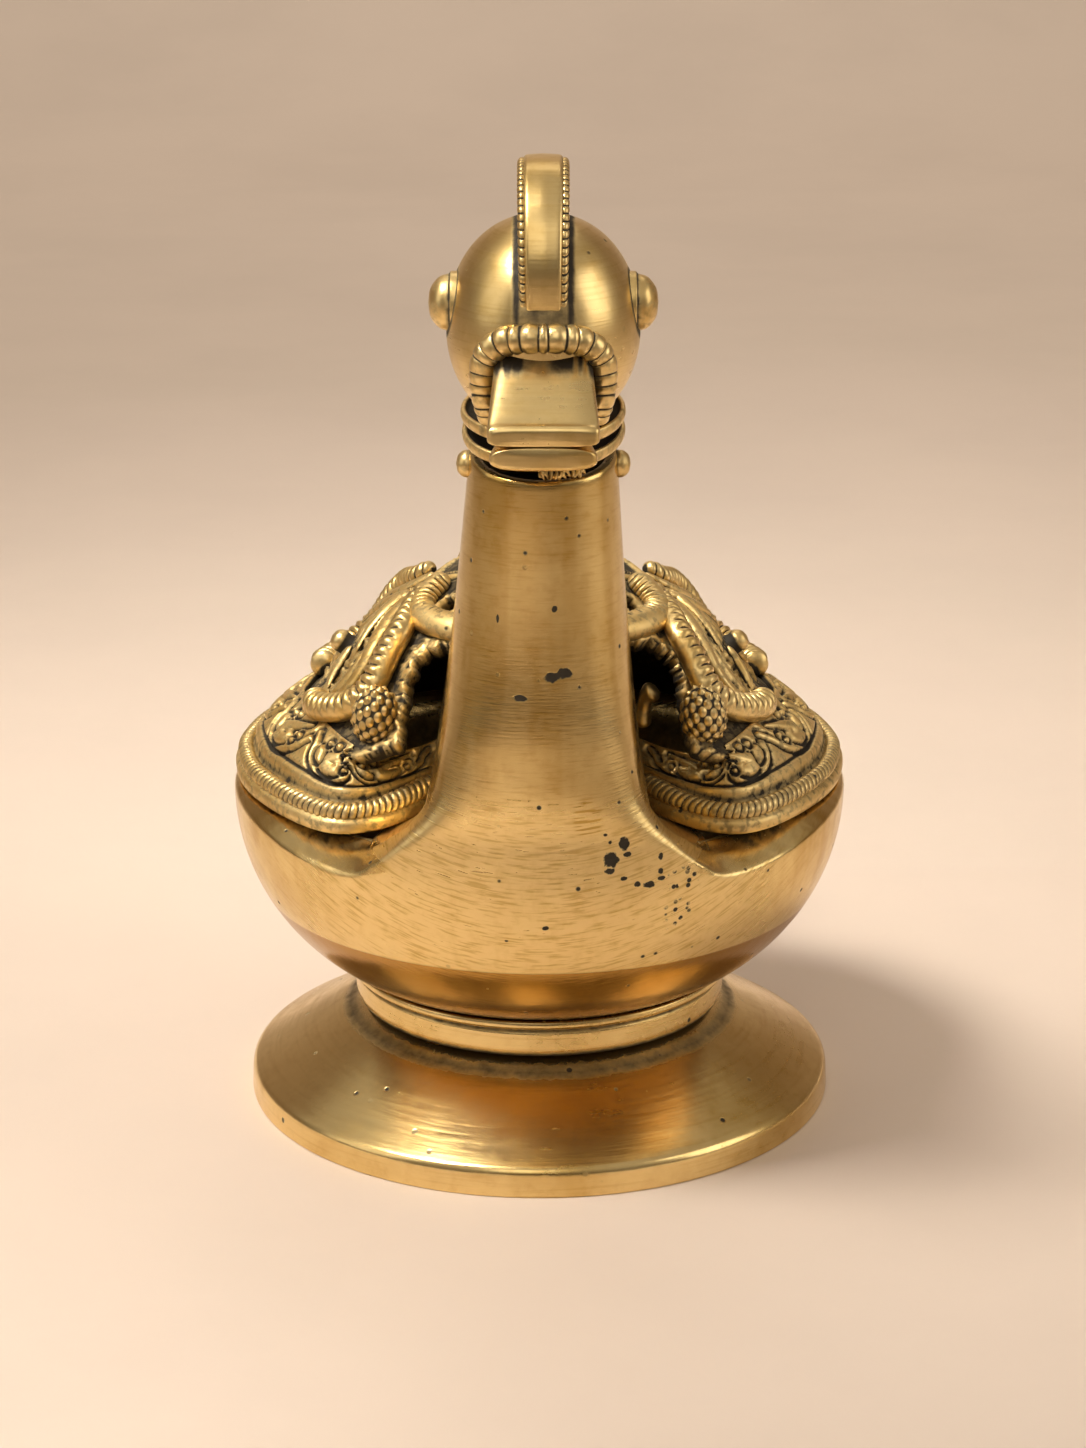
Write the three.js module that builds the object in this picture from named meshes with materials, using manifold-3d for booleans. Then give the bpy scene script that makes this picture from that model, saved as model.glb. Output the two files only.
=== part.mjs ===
// A bird-shaped brass oil lamp (diya): a round bowl on a conical foot, a neck and head rising
// from the bowl's front, a tail behind, and a pierced domed lid hinged at the tail side.
// Millimetres, +Z up. The bird looks along -Y. The origin is on the table under the foot's axis.
import * as THREE from 'three';
import { mergeVertices } from 'three/addons/utils/BufferGeometryUtils.js';
import Module from 'manifold-3d';

const wasm = await Module();
wasm.setup();

// Gap left between pieces that are brazed, screwed or seated on each other
const clearance = 0.3;

// Foot and the collar above it
const footRadius = 38;
const footRimHeight = 3.5;
const footRimDraft = 0.2;
const footHeight = 12.4;
const footTopRadius = 22.5;
const footWall = 2.8;
const footLand = 4;
const collarHeight = 5.1;
const collarRadius = 24.9;
const collarFlare = 0.8;
const collarBead = 1.2;
const spigotRadius = 8;
const screwRadius = 2;
const screwReach = 2.3;
const screwHeadRadius = 4;
const screwHeadHeight = 2.4;
const screwSlotWidth = 1;
const screwSlotDepth = 1.1;
const washerRadius = 6;
const washerThickness = 1.2;

// Bowl
const bowlRadius = 39.3;
const bowlArcRadius = 26.4;
const bowlBaseInset = 0.2;
const bowlWall = 3;
const floorThickness = 3.6;
const rimHeight = 1.2;
const rimBevel = 1.1;
const rimLand = 3;
const deckThickness = 4;

// Neck, measured from the bowl's widest level
const neckHeight = 50.5;
const neckBaseRadius = 13.8;
const neckTopRadius = 8.6;
const neckWaist = 0.4;
const neckFlare = 2.7;
const neckFlareLength = 2.8;
const neckInset = 0.2;
const neckTilt = THREE.MathUtils.degToRad(11);
const neckBoreDepth = 38;
const headOffset = 0.5;

// Collar rings, tenon and cross pin that hold the head on the neck
const ringRadius = 9.3;
const ringHeight = 2.6;
const ringRound = 0.7;
const tenonRadius = 5.3;
const tenonLength = 12;
const pinRadius = 1.2;
const pinDrop = 1.6;
const pinHeadRadius = 1.8;
const pinHeadHeight = 1.3;
const hammeredShare = 0.75;

// Head, measured from its middle
const headRise = 14.5;
const headHalfWidth = 11.1;
const headHalfDepth = 12.5;
const headCrown = 13;
const headChin = 12;
const eyeRadius = 3.45;
const eyeDome = 2.55;
const eyeInset = 0.7;
const eyeForward = 0.7;
const eyeRise = 4;
const crestRadius = 12.2;
const crestBack = 1.2;
const crestRise = 8.5;
const crestThickness = 3.2;
const crestRopeRadius = 0.55;
const crestRopeTurn = 0.5;
const billBase = 8;
const billReach = 20.7;
const billBaseHalfWidth = 4.5;
const billTipHalfWidth = 6.2;
const billBaseTop = -0.3;
const billTipTop = -5.8;
const billSplit = -8.3;
const billTipBottom = -10.8;
const billChamfer = 1;
const beakRopeRadius = 1.5;
const beakRopeHalfWidth = 6.6;
const beakRopeTop = 1.9;
const beakRopeEnd = -7.2;
const beakRopeLift = 0.6;

// Lid
const lidInset = 0.1;
const lidRimHeight = 1.5;
const lidRimRound = 1.2;
const lidWall = 2.2;
const brimInset = 2.9;
const brimEdgeInset = 0.3;
const brimEdgeHeight = 5.2;
const brimWidth = 5.7;
const shoulderInset = 10.7;
const shoulderHeight = 14.2;
const crownPullRadius = 14.4;
const crownPullHeight = 28.4;
const domeHeight = 29;
const notchGap = 0.8;
const lobeRadius = 8.2;
const sillHeight = 9.8;
const windowHalfWidth = 17.6;
const windowSpring = 2.6;
const windowArchHeight = 11;
const backWindowHalfWidth = 11;
const backSillHeight = 13;
const backArchHeight = 9.5;
const slotRadius = 1.3;
const slotStretch = 2.2;
const slotHeight = 15.5;
const slotAzimuth = THREE.MathUtils.degToRad(72);
const crownHoleRadius = 1.4;
const crownHolePlace = 12.5;
const crownHoleAzimuth = THREE.MathUtils.degToRad(38);

// Ornament brazed on the lid
const borderRopeRadius = 0.9;
const borderRopeTurn = 0.35;
const vineRadius = 0.95;
const archRadius = 1.2;
const archHalfSpan = 14;
const backArchHalfSpan = 8.5;
const archLift = 1.9;
const budRadius = 2.6;
const budShare = 0.2;
const budAzimuth = THREE.MathUtils.degToRad(44);
const knobRadius = 2.1;
const knobShare = 0.42;
const tabHeight = 5;
const tabRadius = 1.3;
const tabFootRadius = 1;
const tabTipRadius = 0.9;
const tabTip = 0.5;
const tabAzimuth = THREE.MathUtils.degToRad(41);

// Lid hinge at the back of the bowl
const knuckleRadius = 2.6;
const knuckleLength = 6;
const lugThickness = 3.4;
const hingeRise = 1.5;
const hingePinRadius = 1.2;
const hingePinHeadRadius = 1.9;
const hingePinHeadHeight = 0.9;
const webHalfHeight = 1.1;

// Tail
const tailDrop = 8.7;
const tailRise = 14.5;
const tailRootHalfWidth = 6;
const tailTipHalfWidth = 19;
const tailRootThickness = 6.4;
const tailTipThickness = 2.4;
const tailRootInset = 3;
const fanTurn = 0.6;
const fanRound = 0.75;
const rivetRadius = 1.2;
const rivetHeadRadius = 2;
const rivetHeadHeight = 1;
const rivetDepth = 4;
const rivetSpacing = 7;

// Wick holder standing on the bowl's floor
const holderPlace = 12;
const holderBaseRadius = 9;
const holderBaseHeight = 1.8;
const holderStemRadius = 2.7;
const holderCupRadius = 4.2;
const holderHeight = 20;
const wickRadius = 1.6;
const wickDepth = 14;
const wickShown = 5;
const wickTaper = 2;
const wickTipRadius = 0.65;

// How finely round pieces are faceted
const fineSides = 40;
const smallSides = 14;
const neckSides = 32;

// Levels and places worked out from the driving dimensions
const collarBottom = footHeight + clearance;
const collarTop = collarBottom + collarHeight;
const bodyBottom = collarTop + clearance;
const bowlArcCentre = bowlRadius - bowlArcRadius;
const bowlBaseRadius = collarRadius - bowlBaseInset;
const equator = bodyBottom + Math.sqrt(bowlArcRadius ** 2 - (bowlBaseRadius - bowlArcCentre) ** 2);
const floorLevel = bodyBottom + floorThickness;
const rimTop = equator + rimHeight;
const lidBottom = rimTop + clearance;
const innerArcRadius = bowlArcRadius - bowlWall;
const mouthRadius = bowlArcCentre + innerArcRadius;
const lidRadius = bowlRadius - lidInset;
const brimRadius = lidRadius - brimInset;
const brimEdgeRadius = brimRadius - brimEdgeInset;
const shoulderRadius = brimRadius - shoulderInset;
const sill = lidBottom + sillHeight;
const neckTopLevel = equator + neckHeight;
const neckFront = bowlRadius - neckInset;
const spigotBottom = collarBottom + clearance;
const screwTop = floorLevel - screwReach + clearance;

// Neck radius at a height above the bowl's widest level: a taper with a slight waist, flared at its foot
function neckRadius(height) {
  const share = height / neckHeight;
  const taper = neckBaseRadius + (neckTopRadius - neckBaseRadius) * share;
  const waist = neckWaist * Math.sin(Math.PI * Math.min(share, 1));
  return taper - waist + neckFlare * Math.exp(-height / neckFlareLength);
}

// The neck's front runs straight up, flush with the bowl's front, so its middle follows from its radius
function neckMiddle(height) {
  return neckRadius(height) - neckFront;
}

const neckTopMiddle = neckMiddle(neckHeight);
const notchMiddle = neckMiddle(lidBottom - equator);
const notchRadius = neckRadius(lidBottom - equator) + notchGap;
const billTip = neckTopMiddle - headRise * Math.sin(neckTilt) - billReach;
const tailReach = -billTip;
const hingePlace = lidRadius + clearance + knuckleRadius;
const hingeLevel = lidBottom + hingeRise;

// A closed geometry with shared corners, no empty triangles and its faces pointing out
function closed(source) {
  const bare = source.clone();
  bare.deleteAttribute('normal');
  bare.deleteAttribute('uv');
  const welded = mergeVertices(bare, 1e-4);
  const place = welded.getAttribute('position');
  const triangles = [];
  let volume = 0;
  for (let i = 0; i < welded.index.count; i += 3) {
    const [a, b, c] = [0, 1, 2].map((k) => welded.index.getX(i + k));
    if (a !== b && b !== c && c !== a) {
      triangles.push(a, b, c);
      const [p, q, r] = [a, b, c].map((k) => new THREE.Vector3().fromBufferAttribute(place, k));
      volume += p.dot(q.cross(r));
    }
  }
  if (volume < 0) triangles.reverse();
  welded.setIndex(triangles);
  return welded;
}

function solid(geometry) {
  const body = closed(geometry);
  return new wasm.Manifold(new wasm.Mesh({
    numProp: 3,
    vertProperties: new Float32Array(body.getAttribute('position').array),
    triVerts: new Uint32Array(body.index.array),
  }));
}

function cut(geometry, ...cutters) {
  return cutters.reduce((rest, cutter) => rest.subtract(solid(cutter)), solid(geometry));
}

function geometryOf(manifold) {
  const mesh = manifold.getMesh();
  const geometry = new THREE.BufferGeometry();
  geometry.setAttribute('position', new THREE.BufferAttribute(mesh.vertProperties, 3));
  geometry.setIndex(new THREE.BufferAttribute(mesh.triVerts, 1));
  return geometry;
}

// A turned piece from a closed outline of [radius, height] points
function turned(outline, sides = fineSides) {
  const points = [...outline, outline[0]].map(([radius, height]) => new THREE.Vector2(radius, height));
  return new THREE.LatheGeometry(points, sides).rotateX(Math.PI / 2);
}

function rod(radius, from, to, sides = smallSides) {
  return turned([[0, from], [radius, from], [radius, to], [0, to]], sides);
}

// The same rod lying along X
function crossRod(radius, from, to) {
  return rod(radius, from, to).rotateY(Math.PI / 2);
}

// A solid skinned over rings that have the same number of points
function loft(rings) {
  const count = rings[0].length;
  const middleOf = (ring) => ring.reduce((sum, p) => sum.add(p), new THREE.Vector3()).divideScalar(count);
  const points = [...rings.flat(), middleOf(rings[0]), middleOf(rings[rings.length - 1])];
  const first = rings.length * count;
  const triangles = [];
  for (let i = 0; i < count; i++) {
    const next = (i + 1) % count;
    for (let k = 0; k + 1 < rings.length; k++) {
      const low = k * count;
      const high = low + count;
      triangles.push(low + i, low + next, high + i, low + next, high + next, high + i);
    }
    const top = first - count;
    triangles.push(first, next, i, first + 1, top + i, top + next);
  }
  const geometry = new THREE.BufferGeometry().setFromPoints(points);
  geometry.setIndex(triangles);
  return geometry;
}

function circleRing(radius, x, y, z, sides) {
  return Array.from({ length: sides }, (_, i) => {
    const turn = (2 * Math.PI * i) / sides;
    return new THREE.Vector3(x + radius * Math.cos(turn), y + radius * Math.sin(turn), z);
  });
}

// A round wire along a smooth path
function wire(points, radius, steps) {
  const section = new THREE.Shape();
  section.absarc(0, 0, radius, 0, 2 * Math.PI);
  const extrudePath = new THREE.CatmullRomCurve3(points);
  return new THREE.ExtrudeGeometry(section, { steps, extrudePath, curveSegments: 3, bevelEnabled: false });
}

// A plate drawn in the Y-Z plane and thickened evenly to both sides of a place on X
function sidePlate(shape, thickness, middle = 0) {
  const options = { depth: thickness, bevelEnabled: false, curveSegments: 10 };
  const plate = new THREE.ExtrudeGeometry(shape, options);
  plate.translate(0, 0, -thickness / 2);
  plate.rotateX(Math.PI / 2).rotateZ(Math.PI / 2);
  return plate.translate(middle, 0, 0);
}

// Points of a circle's arc as [radius, height] pairs
function arcPoints(centreRadius, centreHeight, radius, from, to, steps) {
  return Array.from({ length: steps + 1 }, (_, i) => {
    const turn = from + ((to - from) * i) / steps;
    return [centreRadius + radius * Math.cos(turn), centreHeight + radius * Math.sin(turn)];
  });
}

const part = new THREE.Group();

function place(name, shape, colour, roughness, group = part) {
  const geometry = shape.isBufferGeometry ? closed(shape) : geometryOf(shape);
  const material = new THREE.MeshStandardMaterial({ color: colour, roughness, metalness: 1 });
  const mesh = new THREE.Mesh(geometry, material);
  mesh.name = name;
  group.add(mesh);
  return mesh;
}

const polishedBrass = 0xb88a3c;
const castBrass = 0xa67c38;
const darkBrass = 0x8a672e;
const wornBrass = 0xc09650;

// Foot: a hollow cast cone standing on a flat ring, with the screw's hole through its top
const screwHole = screwRadius + clearance;
const coneSlope = (footHeight - footRimHeight) / (footRadius - footRimDraft - footTopRadius);
const coneDrop = footWall * Math.hypot(1, coneSlope);
const landInside = footRadius - footLand;
const landTop = footRimHeight + (footRadius - footRimDraft - landInside) * coneSlope - coneDrop;
const footCeiling = footHeight - footWall;
const foot = turned([
  [footRadius, 0],
  [footRadius - footRimDraft, footRimHeight],
  [footTopRadius, footHeight],
  [screwHole, footHeight],
  [screwHole, footCeiling],
  [landInside - (footCeiling - landTop) / coneSlope, footCeiling],
  [landInside, landTop],
  [landInside, 0],
]);
place('foot', foot, polishedBrass, 0.3);

// Collar: a turned ring with a bead at its top, centred by the bowl's spigot
const collarBore = spigotRadius + clearance;
const collar = turned([
  [collarBore, collarBottom],
  [collarRadius - collarFlare, collarBottom],
  [collarRadius - collarFlare, collarTop - collarBead],
  [collarRadius, collarTop - collarBead / 2],
  [collarRadius - collarFlare / 4, collarTop],
  [collarBore, collarTop],
]);
place('foot_collar', collar, wornBrass, 0.32);

// Washer and slotted screw that draw foot, collar and bowl together from below
const washerTop = footCeiling - clearance;
const washerBottom = washerTop - washerThickness;
const washer = turned([
  [screwHole, washerBottom],
  [washerRadius, washerBottom],
  [washerRadius, washerTop],
  [screwHole, washerTop],
], smallSides);
place('foot_washer', washer, castBrass, 0.4);

const screwHeadTop = washerBottom - clearance;
const screwHeadBottom = screwHeadTop - screwHeadHeight;
const screw = turned([
  [0, screwHeadBottom],
  [screwHeadRadius, screwHeadBottom],
  [screwHeadRadius, screwHeadTop],
  [screwRadius, screwHeadTop],
  [screwRadius, screwTop - clearance],
  [0, screwTop - clearance],
], smallSides);
const screwSlot = new THREE.BoxGeometry(3 * screwHeadRadius, screwSlotWidth, 2 * screwSlotDepth);
screwSlot.translate(0, 0, screwHeadBottom);
place('foot_screw', cut(screw, screwSlot), castBrass, 0.4);

// The lid's plan near the neck: a round notch whose corners are rounded into two lobes.
// The lobe's middle touches the lid's circle from inside and the notch's circle from outside.
const lobeReach = lidRadius - lobeRadius;
const lobeY = ((notchRadius + lobeRadius) ** 2 - lobeReach ** 2 - notchMiddle ** 2) / (-2 * notchMiddle);
const lobeX = Math.sqrt(lobeReach ** 2 - lobeY ** 2);
const lobeOut = Math.atan2(lobeY, lobeX);
const lobeIn = Math.atan2(notchMiddle - lobeY, -lobeX);
const notchTurn = Math.atan2(lobeY - notchMiddle, lobeX);

// What the notch leaves open in front of the lid, drawn inwards by an inset
function notchPrism(inset, bottom, top) {
  const far = 2 * lidRadius;
  const shape = new THREE.Shape();
  shape.moveTo(far * Math.cos(lobeOut), far * Math.sin(lobeOut));
  shape.absarc(lobeX, lobeY, lobeRadius - inset, lobeOut, lobeIn, true);
  shape.absarc(0, notchMiddle, notchRadius + inset, notchTurn, Math.PI - notchTurn, false);
  shape.absarc(-lobeX, lobeY, lobeRadius - inset, Math.PI - lobeIn, Math.PI - lobeOut, true);
  shape.lineTo(-far * Math.cos(lobeOut), far * Math.sin(lobeOut));
  shape.lineTo(-far, -far);
  shape.lineTo(far, -far);
  const options = { depth: top - bottom, bevelEnabled: false, curveSegments: 7 };
  return new THREE.ExtrudeGeometry(shape, options).translate(0, 0, bottom);
}

// Bowl: its side is one arc from the collar to the widest level, with a bevelled rim above it
const bowlStart = Math.atan2(bodyBottom - equator, bowlBaseRadius - bowlArcCentre);
function bowlOutside(grow) {
  return turned([
    [0, bodyBottom - grow],
    ...arcPoints(bowlArcCentre, equator, bowlArcRadius + grow, bowlStart, 0, 9),
    [bowlRadius - rimBevel + grow, rimTop],
    [0, rimTop],
  ]);
}
const overRim = rimTop + deckThickness;
const bowlInside = turned([
  [0, floorLevel],
  ...arcPoints(bowlArcCentre, equator, innerArcRadius,
    Math.asin((floorLevel - equator) / innerArcRadius), 0, 6),
  [mouthRadius, overRim],
  [0, overRim],
]);
const deck = notchPrism(rimLand, rimTop - deckThickness, overRim + clearance);
const cavity = solid(bowlInside).subtract(solid(deck));

// Neck: round sections that start inside the deck and run past the tilted plane that ends it
const neckRings = [];
const neckSteps = 9;
const neckStepBias = 1.6;
const neckOvershoot = neckTopRadius;
const neckEnd = neckTopLevel + neckOvershoot;
const neckRoot = rimTop - deckThickness / 2;
neckRings.push(circleRing(neckRadius(rimHeight), 0, neckMiddle(rimHeight), neckRoot, neckSides));
for (let i = 0; i <= neckSteps; i++) {
  const share = (i / neckSteps) ** neckStepBias;
  const height = rimHeight + (neckHeight - rimHeight) * share;
  const aside = headOffset * share;
  neckRings.push(circleRing(neckRadius(height), aside, neckMiddle(height), equator + height, neckSides));
}
neckRings.push(circleRing(neckTopRadius, headOffset, neckTopMiddle, neckEnd, neckSides));

// The tilted frame on top of the neck, in which the rings, the tenon and the pin are placed
const neckTop = new THREE.Group();
neckTop.position.set(headOffset, neckTopMiddle, neckTopLevel);
neckTop.rotation.x = neckTilt;
neckTop.updateMatrix();
part.add(neckTop);
const onNeck = (geometry) => geometry.applyMatrix4(neckTop.matrix);

// Rivets through the bowl's back, square to its wall, and the holes that they need
const rivetFall = Math.asin(tailDrop / bowlArcRadius);
function onBowlBack(geometry, side) {
  const x = (side * rivetSpacing) / 2;
  return geometry.rotateX(-Math.PI / 2 - rivetFall).translate(x, bowlArcCentre, equator);
}
const rivetHeadTop = innerArcRadius - 2 * clearance;
const rivetEnd = bowlArcRadius + clearance + rivetDepth;
const rivetHoles = [-1, 1].map((side) =>
  onBowlBack(rod(rivetRadius + clearance, rivetHeadTop, rivetEnd + clearance), side));

const neckBore = onNeck(rod(tenonRadius + clearance, -neckBoreDepth, clearance));
const neckTrim = onNeck(rod(2 * neckTopRadius, 0, 2 * neckOvershoot));
const pinRun = 2 * neckTopRadius;
const pinHole = onNeck(crossRod(pinRadius + clearance, -pinRun, pinRun).translate(0, 0, -pinDrop));
const spigot = rod(spigotRadius, spigotBottom, floorLevel - floorThickness / 2);
const screwBore = rod(screwHole, spigotBottom - clearance, screwTop);
const body = solid(bowlOutside(0))
  .subtract(cavity)
  .add(solid(loft(neckRings)))
  .add(solid(spigot))
  .subtract(solid(neckTrim))
  .subtract(solid(neckBore))
  .subtract(solid(pinHole))
  .subtract(solid(screwBore))
  .subtract(solid(rivetHoles[0]))
  .subtract(solid(rivetHoles[1]));
place('body', body, polishedBrass, 0.28);

// Two collar rings between the neck and the head
function ringAt(bottom) {
  const inside = tenonRadius + clearance;
  const top = bottom + ringHeight;
  const outer = ringRadius - ringRound;
  const rounded = (height, from) => arcPoints(outer, height, ringRound, from, from + Math.PI / 2, 2);
  return turned([
    [inside, bottom],
    ...rounded(bottom + ringRound, -Math.PI / 2),
    ...rounded(top - ringRound, 0),
    [inside, top],
  ], 24);
}
const upperRingBottom = 2 * clearance + ringHeight;
const headSeat = upperRingBottom + ringHeight + clearance;
place('collar_ring_lower', ringAt(clearance), castBrass, 0.34, neckTop);
place('collar_ring_upper', ringAt(upperRingBottom), castBrass, 0.34, neckTop);

// Cross pin through neck and tenon, with a round head hammered over each end
const pinHeadInside = neckRadius(neckHeight - pinDrop) + clearance;
const pinHalf = [
  [0, 0],
  [pinRadius, 0],
  [pinRadius, pinHeadInside],
  [pinHeadRadius, pinHeadInside],
  [pinHeadRadius * hammeredShare, pinHeadInside + pinHeadHeight * hammeredShare],
  [0, pinHeadInside + pinHeadHeight],
];
const pinEnds = [-1, 1].map((side) => solid(turned(pinHalf, smallSides).rotateY((side * Math.PI) / 2)));
const neckPin = place('neck_pin', pinEnds[0].add(pinEnds[1]), castBrass, 0.34, neckTop);
neckPin.position.z = -pinDrop;

// Head: an egg that stands upright on the tilted rings, with its tenon running down the neck's bore
const head = new THREE.Group();
head.position.z = headRise;
head.rotation.x = -neckTilt;
neckTop.add(head);
const intoHead = (geometry) => geometry.translate(0, 0, -headRise).rotateX(neckTilt);

function egg(grow) {
  const ball = new THREE.SphereGeometry(1, 20, 14).rotateX(Math.PI / 2);
  const points = ball.getAttribute('position');
  for (let i = 0; i < points.count; i++) {
    const up = points.getZ(i);
    const half = (up > 0 ? headCrown : headChin) + grow;
    const x = points.getX(i) * (headHalfWidth + grow);
    const y = points.getY(i) * (headHalfDepth + grow);
    points.setXYZ(i, x, y, up * half);
  }
  return ball;
}
const belowHead = intoHead(rod(headHalfDepth, headSeat - headChin, headSeat));
const tenon = intoHead(rod(tenonRadius, -tenonLength, headSeat + headChin / 2));
const tenonHole = intoHead(crossRod(pinRadius + clearance, -pinRun, pinRun).translate(0, 0, -pinDrop));
const headSolid = cut(egg(0), belowHead).add(solid(tenon)).subtract(solid(tenonHole));
place('head', headSolid, polishedBrass, 0.27, head);
const headSkin = egg(clearance);

// Crest: a round plate standing on the head, with a rope along each edge
const crestShape = new THREE.Shape();
crestShape.absarc(crestBack, crestRise, crestRadius, 0, 2 * Math.PI);
place('crest', cut(sidePlate(crestShape, crestThickness), headSkin), wornBrass, 0.3, head);
const crestRopeSide = crestThickness / 2 + clearance + crestRopeRadius;
const crestRopeArc = crestRadius - crestRopeRadius;
for (const [name, side] of [['crest_rope_left', -1], ['crest_rope_right', 1]]) {
  const along = arcPoints(crestBack, crestRise, crestRopeArc, -crestRopeTurn, Math.PI + crestRopeTurn, 12)
    .map(([y, z]) => new THREE.Vector3(side * crestRopeSide, y, z));
  place(name, cut(wire(along, crestRopeRadius, 20), headSkin), darkBrass, 0.4, head);
}

// Eyes: domed bosses on the sides of the head
for (const [name, side] of [['eye_left', -1], ['eye_right', 1]]) {
  const boss = new THREE.SphereGeometry(1, 12, 8).scale(eyeDome, eyeRadius, eyeRadius);
  boss.translate(side * (headHalfWidth - eyeInset), -eyeForward, eyeRise);
  place(name, cut(boss, headSkin), wornBrass, 0.28, head);
}

// Bill: a broad blunt wedge in an upper and a lower half, each skinned over chamfered sections
function billSection(forward, halfWidth, bottom, top) {
  const chamfer = Math.min(billChamfer, (top - bottom) / 3);
  const outline = [
    [-halfWidth, bottom], [halfWidth, bottom], [halfWidth, top - chamfer],
    [halfWidth - chamfer, top], [chamfer - halfWidth, top], [-halfWidth, top - chamfer],
  ];
  return outline.map(([x, z]) => new THREE.Vector3(x, -forward, z));
}
const halfChamfer = billChamfer / 2;
const upperSplit = billSplit + clearance;
const billEdge = billReach - billChamfer;
const upperBill = loft([
  billSection(billBase, billBaseHalfWidth, upperSplit, billBaseTop),
  billSection(billEdge, billTipHalfWidth, upperSplit, billTipTop),
  billSection(billReach, billTipHalfWidth - halfChamfer, upperSplit, billTipTop - billChamfer),
]);
const lowerBill = loft([
  billSection(billBase, billBaseHalfWidth, billTipBottom, billSplit),
  billSection(billEdge, billTipHalfWidth - halfChamfer, billTipBottom, billSplit),
  billSection(billReach - halfChamfer, billTipHalfWidth - billChamfer, billTipBottom + billChamfer, billSplit),
]);
place('beak_upper', cut(upperBill, headSkin), polishedBrass, 0.3, head);
const ringSweep = intoHead(rod(ringRadius + clearance, clearance, headSeat));
place('beak_lower', cut(lowerBill, headSkin, ringSweep), castBrass, 0.32, head);

// A rope arched over the bill, lying on the head where the bill leaves it
function onHead(x, z, lift) {
  const half = z > 0 ? headCrown : headChin;
  const depth = headHalfDepth * Math.sqrt(1 - (x / headHalfWidth) ** 2 - (z / half) ** 2);
  return new THREE.Vector3(x, -depth - lift, z);
}
const ropeArch = arcPoints(0, beakRopeTop - beakRopeHalfWidth, beakRopeHalfWidth, 0, Math.PI, 8);
const beakRopePath = [[beakRopeHalfWidth, beakRopeEnd], ...ropeArch, [-beakRopeHalfWidth, beakRopeEnd]]
  .map(([x, z]) => onHead(x, z, beakRopeRadius * beakRopeLift));
const billSkin = loft([
  billSection(billBase, billBaseHalfWidth + clearance, billTipBottom, billBaseTop + 2 * clearance),
  billSection(billReach, billTipHalfWidth + clearance, billTipBottom, billTipTop + 2 * clearance),
]);
place('beak_rope', cut(wire(beakRopePath, beakRopeRadius, 20), headSkin, billSkin), castBrass, 0.36, head);

// Lid profile: a steep edge inside the rope, the sloping brim up to the sill, the shoulder above it,
// then one curve over the crown
const brimStart = new THREE.Vector2(brimRadius, lidBottom + lidRimHeight);
const brimEdge = new THREE.Vector2(brimEdgeRadius, lidBottom + brimEdgeHeight);
const brimTop = new THREE.Vector2(brimEdgeRadius - brimWidth, sill);
const shoulder = new THREE.Vector2(shoulderRadius, lidBottom + shoulderHeight);
const crown = new THREE.Vector2(0, lidBottom + domeHeight);
const crownPull = new THREE.Vector2(crownPullRadius, lidBottom + crownPullHeight);
const crownCurve = new THREE.QuadraticBezierCurve(shoulder, crownPull, crown);
const brimEdgeShare = 0.1;
const brimTopShare = 0.25;
const brimShare = 0.4;
const brimRun = [[0, brimStart], [brimEdgeShare, brimEdge], [brimTopShare, brimTop], [brimShare, shoulder]];

// A point on the lid's outer profile: share 0 at the brim, 1 at the crown
function lidProfile(share) {
  if (share >= brimShare) return crownCurve.getPoint((share - brimShare) / (1 - brimShare));
  const next = brimRun.findIndex(([from]) => from > share);
  const [from, start] = brimRun[next - 1];
  const [to, end] = brimRun[next];
  return start.clone().lerp(end, (share - from) / (to - from));
}

function lidNormal(share) {
  const step = 0.01;
  const along = lidProfile(Math.min(share + step, 1)).sub(lidProfile(Math.max(share - step, 0)));
  return new THREE.Vector2(along.y, -along.x).normalize();
}

// A place on the lid, lifted square off its surface: azimuth 0 is the front, growing towards +X
function onLid(share, azimuth, lift) {
  const point = lidProfile(share).addScaledVector(lidNormal(share), lift);
  return new THREE.Vector3(point.x * Math.sin(azimuth), -point.x * Math.cos(azimuth), point.y);
}

const lidShares = [0, brimEdgeShare, brimTopShare, brimShare, 0.5, 0.58, 0.66, 0.76, 0.88];
const outerProfile = lidShares.map((share) => lidProfile(share).toArray());
const innerProfile = lidShares.map((share) => {
  return lidProfile(share).addScaledVector(lidNormal(share), -lidWall).toArray();
});
const domeOutline = [
  [lidRadius - lidRimRound, lidBottom],
  [lidRadius, lidBottom + lidRimRound / 3],
  [lidRadius, lidBottom + lidRimHeight],
  ...outerProfile,
  crown.toArray(),
];
const dome = turned([
  ...domeOutline,
  [0, crown.y - lidWall],
  ...innerProfile.reverse(),
  [innerProfile[innerProfile.length - 1][0], lidBottom],
]);
const domeFilled = turned([...domeOutline, [0, lidBottom]]);

// An arched window cut through the dome's wall, seen along Y
function windowPrism(halfWidth, sill, spring, archHeight) {
  const shape = new THREE.Shape();
  shape.moveTo(-halfWidth, sill);
  shape.lineTo(halfWidth, sill);
  shape.lineTo(halfWidth, spring);
  shape.absellipse(0, spring, halfWidth, archHeight, 0, Math.PI, false);
  const options = { depth: lidRadius, bevelEnabled: false, curveSegments: 8 };
  const prism = new THREE.ExtrudeGeometry(shape, options);
  return prism.translate(0, 0, crownHolePlace / 2).rotateX(Math.PI / 2);
}
const frontWindow = windowPrism(windowHalfWidth, sill, sill + windowSpring, windowArchHeight);
const backSill = lidBottom + backSillHeight;
const backWindow = windowPrism(backWindowHalfWidth, backSill, backSill, backArchHeight).rotateZ(Math.PI);

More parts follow.
